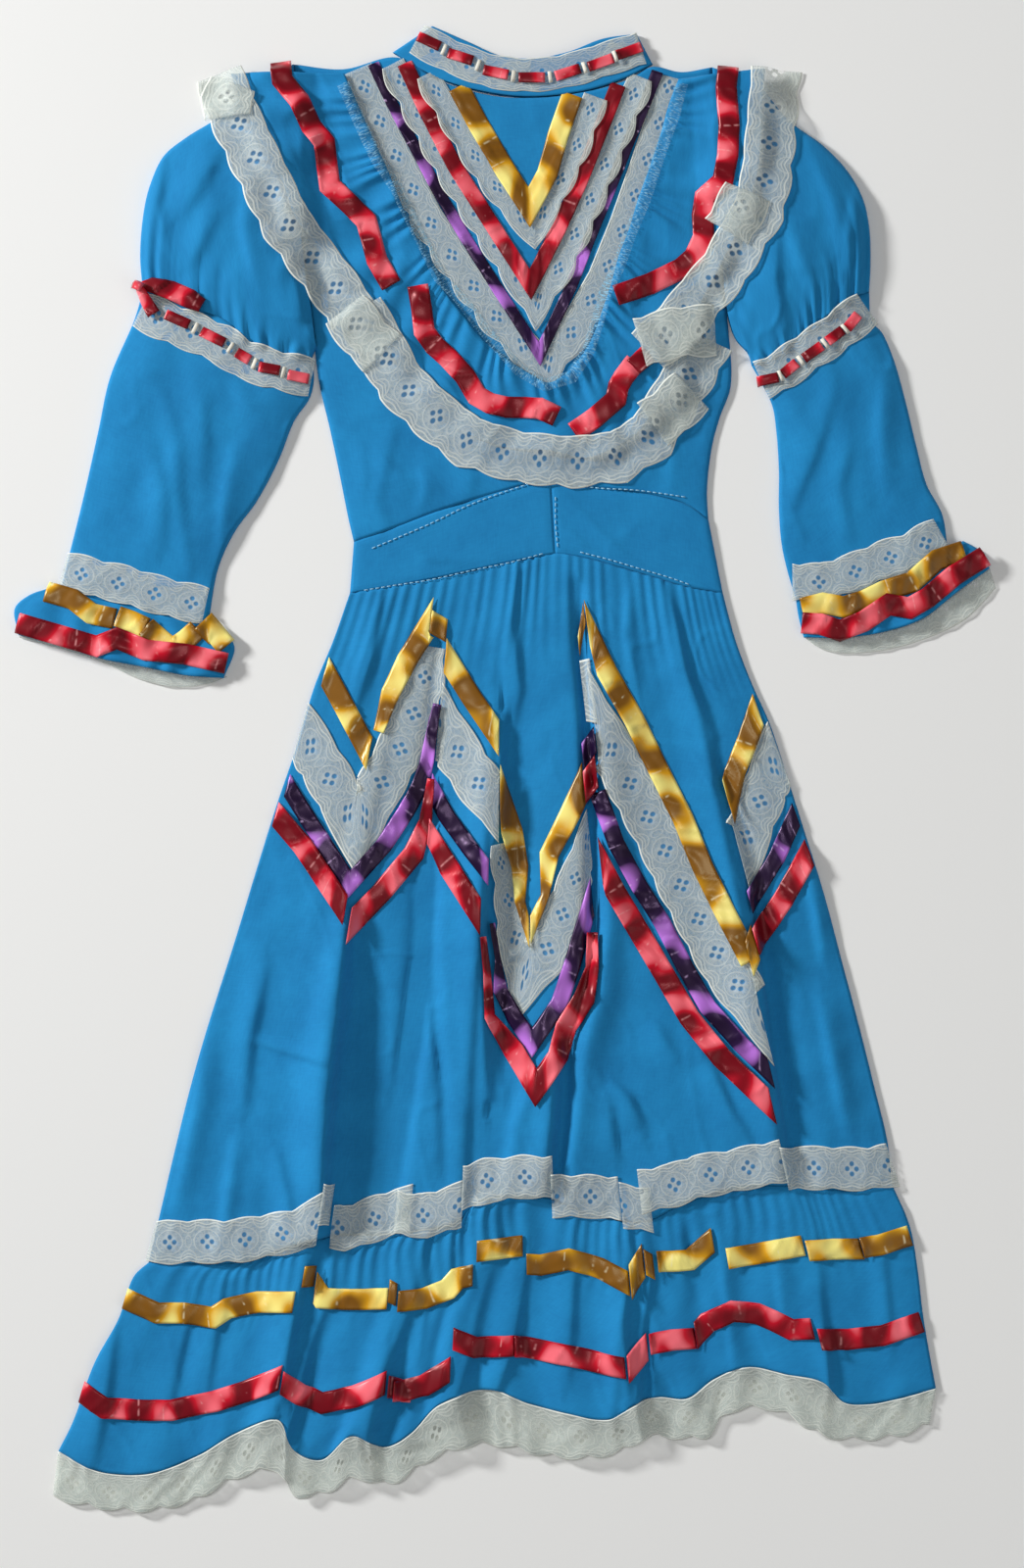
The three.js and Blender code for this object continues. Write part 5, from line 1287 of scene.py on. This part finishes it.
for side, made in SLEEVES.items():
    seed = 40 if side == "left" else 60
    pressed("sleeve_puff_" + side, made["puff"], 74, 72, puff_height(side, seed))
    pressed("sleeve_lower_" + side, made["lower"], 52, 76, lower_height(side, seed + 5))
    pressed("cuff_flounce_" + side, made["cuff"], 80, 18, cuff_height(seed + 9))
    lower, cuff = "sleeve_lower_" + side + "_fabric", "cuff_flounce_" + side + "_fabric"
    foot = made["cuff"][1]
    u, v = shares(90, 10)
    plan = patch(foot, made["edge"], [foot[0], made["edge"][0]], [foot[-1], made["edge"][-1]])(u, v)
    edge = with_height(plan, 1.2 + 1.6 * (1 - v) + 0.6 * wave(9 * u))
    outer_half = (1 + v) * LACE_SHARES / 2
    piece("cuff_edge_lace_" + side, edge, lay_of(edge, outer_half), LACE, "lace")
    trim("cuff_lace_" + side, [made["lace"]], CUFF_LACE, "lace", [lower], across=12, edges=BOTH, puff=0.7)
    trim("cuff_ribbon_gold_" + side, made["gold"], RIBBON, "gold", [cuff], puff=1.8)
    trim("cuff_ribbon_red_" + side, [made["red"]], RIBBON, "red", [cuff], puff=1.6)
    trim("sleeve_band_lace_" + side, [made["band"]], BAND_LACE, "lace", [lower], across=12, edges=BOTH,
         puff=0.5, reach=2)
    trim("band_threaded_ribbon_" + side, made["dashes"], THREADED, "red",
         [f"sleeve_band_lace_{side}_fabric"], puff=1.0, reach=2, stands=False)
    bars("band_bars_" + side, made["dashes"])

# Zigzag on the skirt: four stretches of the skirt between its folds, and how many pieces of each tape show
ZIGZAG = {
  "lace": (ZIG_LACE, SKIRT_LACE, (2, 1, 2, 1)),
  "gold": (ZIG_GOLD, RIBBON, (4, 2, 3, 1)),
  "purple": (ZIG_PURPLE, PURPLE_RIBBON, (2, 1, 2, 1)),
  "red": (ZIG_RED, RIBBON, (3, 1, 2, 1)),
}
for dye, (stretches, width, counts) in ZIGZAG.items():
    ends = np.cumsum((0, *counts))
    shape = {"across": 16, "edges": BOTH, "puff": 0.4} if dye == "lace" else {"puff": 1.4}
    for i, (start, end) in enumerate(zip(ends[:-1], ends[1:])):
        trim(f"zigzag_{dye}_{i + 1}", stretches[start:end], width, dye, ["skirt_front_fabric"], upright=True,
             **shape)

trim("flounce_seam_lace", SEAM_LACES, SEAM_LACE_WIDTH, "lace", ["skirt_front_fabric"], puff=0.8, across=14,
     edges=BOTH, held="gathered", upright=True)
for dye, stretches in (("gold", HEM_GOLD), ("red", HEM_RED)):
    trim("flounce_ribbon_" + dye, stretches, RIBBON, dye, ["flounce_front_fabric"], puff=1.2,
         held="gathered", upright=True)

# Yoke: each lace is sewn on before the ribbon inside it, and laps the ribbon outside it
YOKE = [
  # what, middle line, width, finish, depth of its outer scallops, fullness
  ("lace_outer", YOKE_LACE_OUTER, YOKE_LACES["outer"] + 2 * YOKE_LAP, "lace", 4.5, 0.4),
  ("ribbon_purple", YOKE_RIBBON_OUTER, YOKE_PURPLE_RIBBON, "purple", 0, 0.9),
  ("lace_middle", YOKE_LACE_MIDDLE, YOKE_LACES["middle"] + YOKE_LAP, "lace", 4.0, 0.4),
  ("ribbon_red", YOKE_RIBBON_MIDDLE, YOKE_RED_RIBBON, "red", 0, 1.0),
  ("lace_inner", YOKE_LACE_INNER, YOKE_LACES["inner"] + YOKE_LAP, "lace", 3.5, 0.4),
  ("ribbon_yellow", YOKE_RIBBON_INNER, RIBBON, "gold", 0, 1.2),
]
for what, middle, width, finish, scallops, puff in YOKE:
    trim("yoke_" + what, [middle], width, finish, ["bodice_front_fabric"], across=12, puff=puff,
         edges=(0, scallops), reach=2)

# Collar
pressed("collar", [COLLAR_TOP, COLLAR_FOOT, COLLAR_LEFT, COLLAR_RIGHT], 110, 18,
        lambda u, v, plan: TUBE_EDGE + 2.5 * rise(u))
along = np.linspace(0.01, 0.99, 12)
middle = 0.55 * line(COLLAR_TOP)(along) + 0.45 * line(COLLAR_FOOT)(along)
trim("collar_lace", [middle], COLLAR_LACE, "lace", ["collar_fabric"], across=12, puff=0.4, reach=2,
     stands=False, edges=(1.2, 1.2))
trim("collar_threaded_ribbon", COLLAR_DASHES, THREADED, "red", ["collar_lace_fabric"], puff=1.0,
     stands=False)
bars("collar_bars", COLLAR_DASHES)

# Ruffle over the shoulders
seam, edge = np.array(RUFFLE_SEAM, float), np.array(RUFFLE_EDGE, float)
seam_line, edge_line = line(seam), line(edge)
u, v = shares(340, 48)
plan = seam_line(u) * (1 - v[..., None]) + edge_line(u) * v[..., None]
x, y = plan[..., 0], plan[..., 1]
height = over(x, y, 8) + 0.6 + CLOTH + (0.8 + 2.6 * v) * wave(17 * u + 0.7 * noise(u * 9, v * 1.4, 71))
tucked = wave(47 * u + 1.3 * noise(u * 26, v, 72)) * (0.55 + 0.45 * noise(u * 60, v * 2, 74))
height += 4.2 * tucked * (1 - smooth(0.04, 0.62, v)) * smooth(0, 0.05, v) + 1.3 * rumple(x, y, 73)
panel("shoulder_ruffle", plan, height)
for i, stretches in enumerate([[RUFFLE_RIBBON_1], RUFFLE_RIBBON_2, [RUFFLE_RIBBON_3]]):
    trim(f"ruffle_ribbon_red_{i + 1}", stretches, RIBBON, "red", ["shoulder_ruffle_fabric"], puff=1.6)
for i, middle in enumerate([RUFFLE_LACE_1, RUFFLE_LACE_2, RUFFLE_LACE_3]):
    trim(f"ruffle_lace_{i + 1}", [middle], RUFFLE_LACE, "lace", ["shoulder_ruffle_fabric"], puff=0.8,
         across=18, edges=(1.0, 3.0), reach=6, held="gathered")

trim("gather_stitches", [GATHER_STITCHES], GATHER_BAND, "loops", ["shoulder_ruffle_fabric"], puff=0.4,
     reach=2, stands=False)
trim("doubled_laces", DOUBLED_LACES, RUFFLE_LACE, "lace", [f"ruffle_lace_{i}_fabric" for i in (1, 2, 3)],
     across=18, puff=0.6, stands=False, edges=BOTH)

# Bow
trim("sleeve_bow_left", [BOW_LOOP, BOW_TAIL, BOW_KNOT], BOW_RIBBON, "red", ["sleeve_puff_left_fabric"],
     puff=3.0, lift=1, held="folded")

# Floor, light and camera
LOOK = (4.9, -12.0)  # the middle of the picture
CAMERA_HEIGHT = 2400
PICTURE_LONG = 1200  # the length of floor from the picture's top to its foot


def floor():
    """A plain pale floor just under the dress."""
    mesh = bpy.data.meshes.new("floor")
    far, low = 6.0, -0.0003
    corners = [(-far, -far, low), (far, -far, low), (far, far, low), (-far, far, low)]
    mesh.from_pydata(corners, [], [(0, 1, 2, 3)])
    made = bpy.data.objects.new("floor", mesh)
    bpy.context.collection.objects.link(made)
    finish = bpy.data.materials.new("painted board, matt")
    finish.use_nodes = True
    finish.node_tree.nodes["Principled BSDF"].inputs["Base Color"].default_value = colour("#F4F4F2")
    finish.node_tree.nodes["Principled BSDF"].inputs["Roughness"].default_value = 0.9
    mesh.materials.append(finish)


def light(name, place, size, power, aim=(0, 0, 0)):
    """A square soft light turned to its aim."""
    lamp = bpy.data.lights.new(name, "AREA")
    lamp.size, lamp.energy = size, power
    made = bpy.data.objects.new(name, lamp)
    made.location = place
    made.rotation_euler = (Vector(aim) - Vector(place)).to_track_quat("-Z", "Y").to_euler()
    bpy.context.collection.objects.link(made)


floor()
light("key", (-4.0, 2.0, 1.95), 0.7, 265)
light("fill", (1.8, -1.0, 2.2), 2.0, 10)
light("top", (-0.25, 0.3, 2.7), 0.4, 9)
world = bpy.data.worlds.new("studio")
world.use_nodes = True
world.node_tree.nodes["Background"].inputs["Color"].default_value = (1, 1, 1, 1)
world.node_tree.nodes["Background"].inputs["Strength"].default_value = 0.2
scene = bpy.context.scene
scene.world = world
scene.view_settings.view_transform = "Standard"
camera = bpy.data.cameras.new("camera")
camera.sensor_width = 36
camera.lens = 36 * CAMERA_HEIGHT / PICTURE_LONG
view = bpy.data.objects.new("camera", camera)
view.location = (LOOK[0] * MM, LOOK[1] * MM, CAMERA_HEIGHT * MM)
bpy.context.collection.objects.link(view)
scene.camera = view
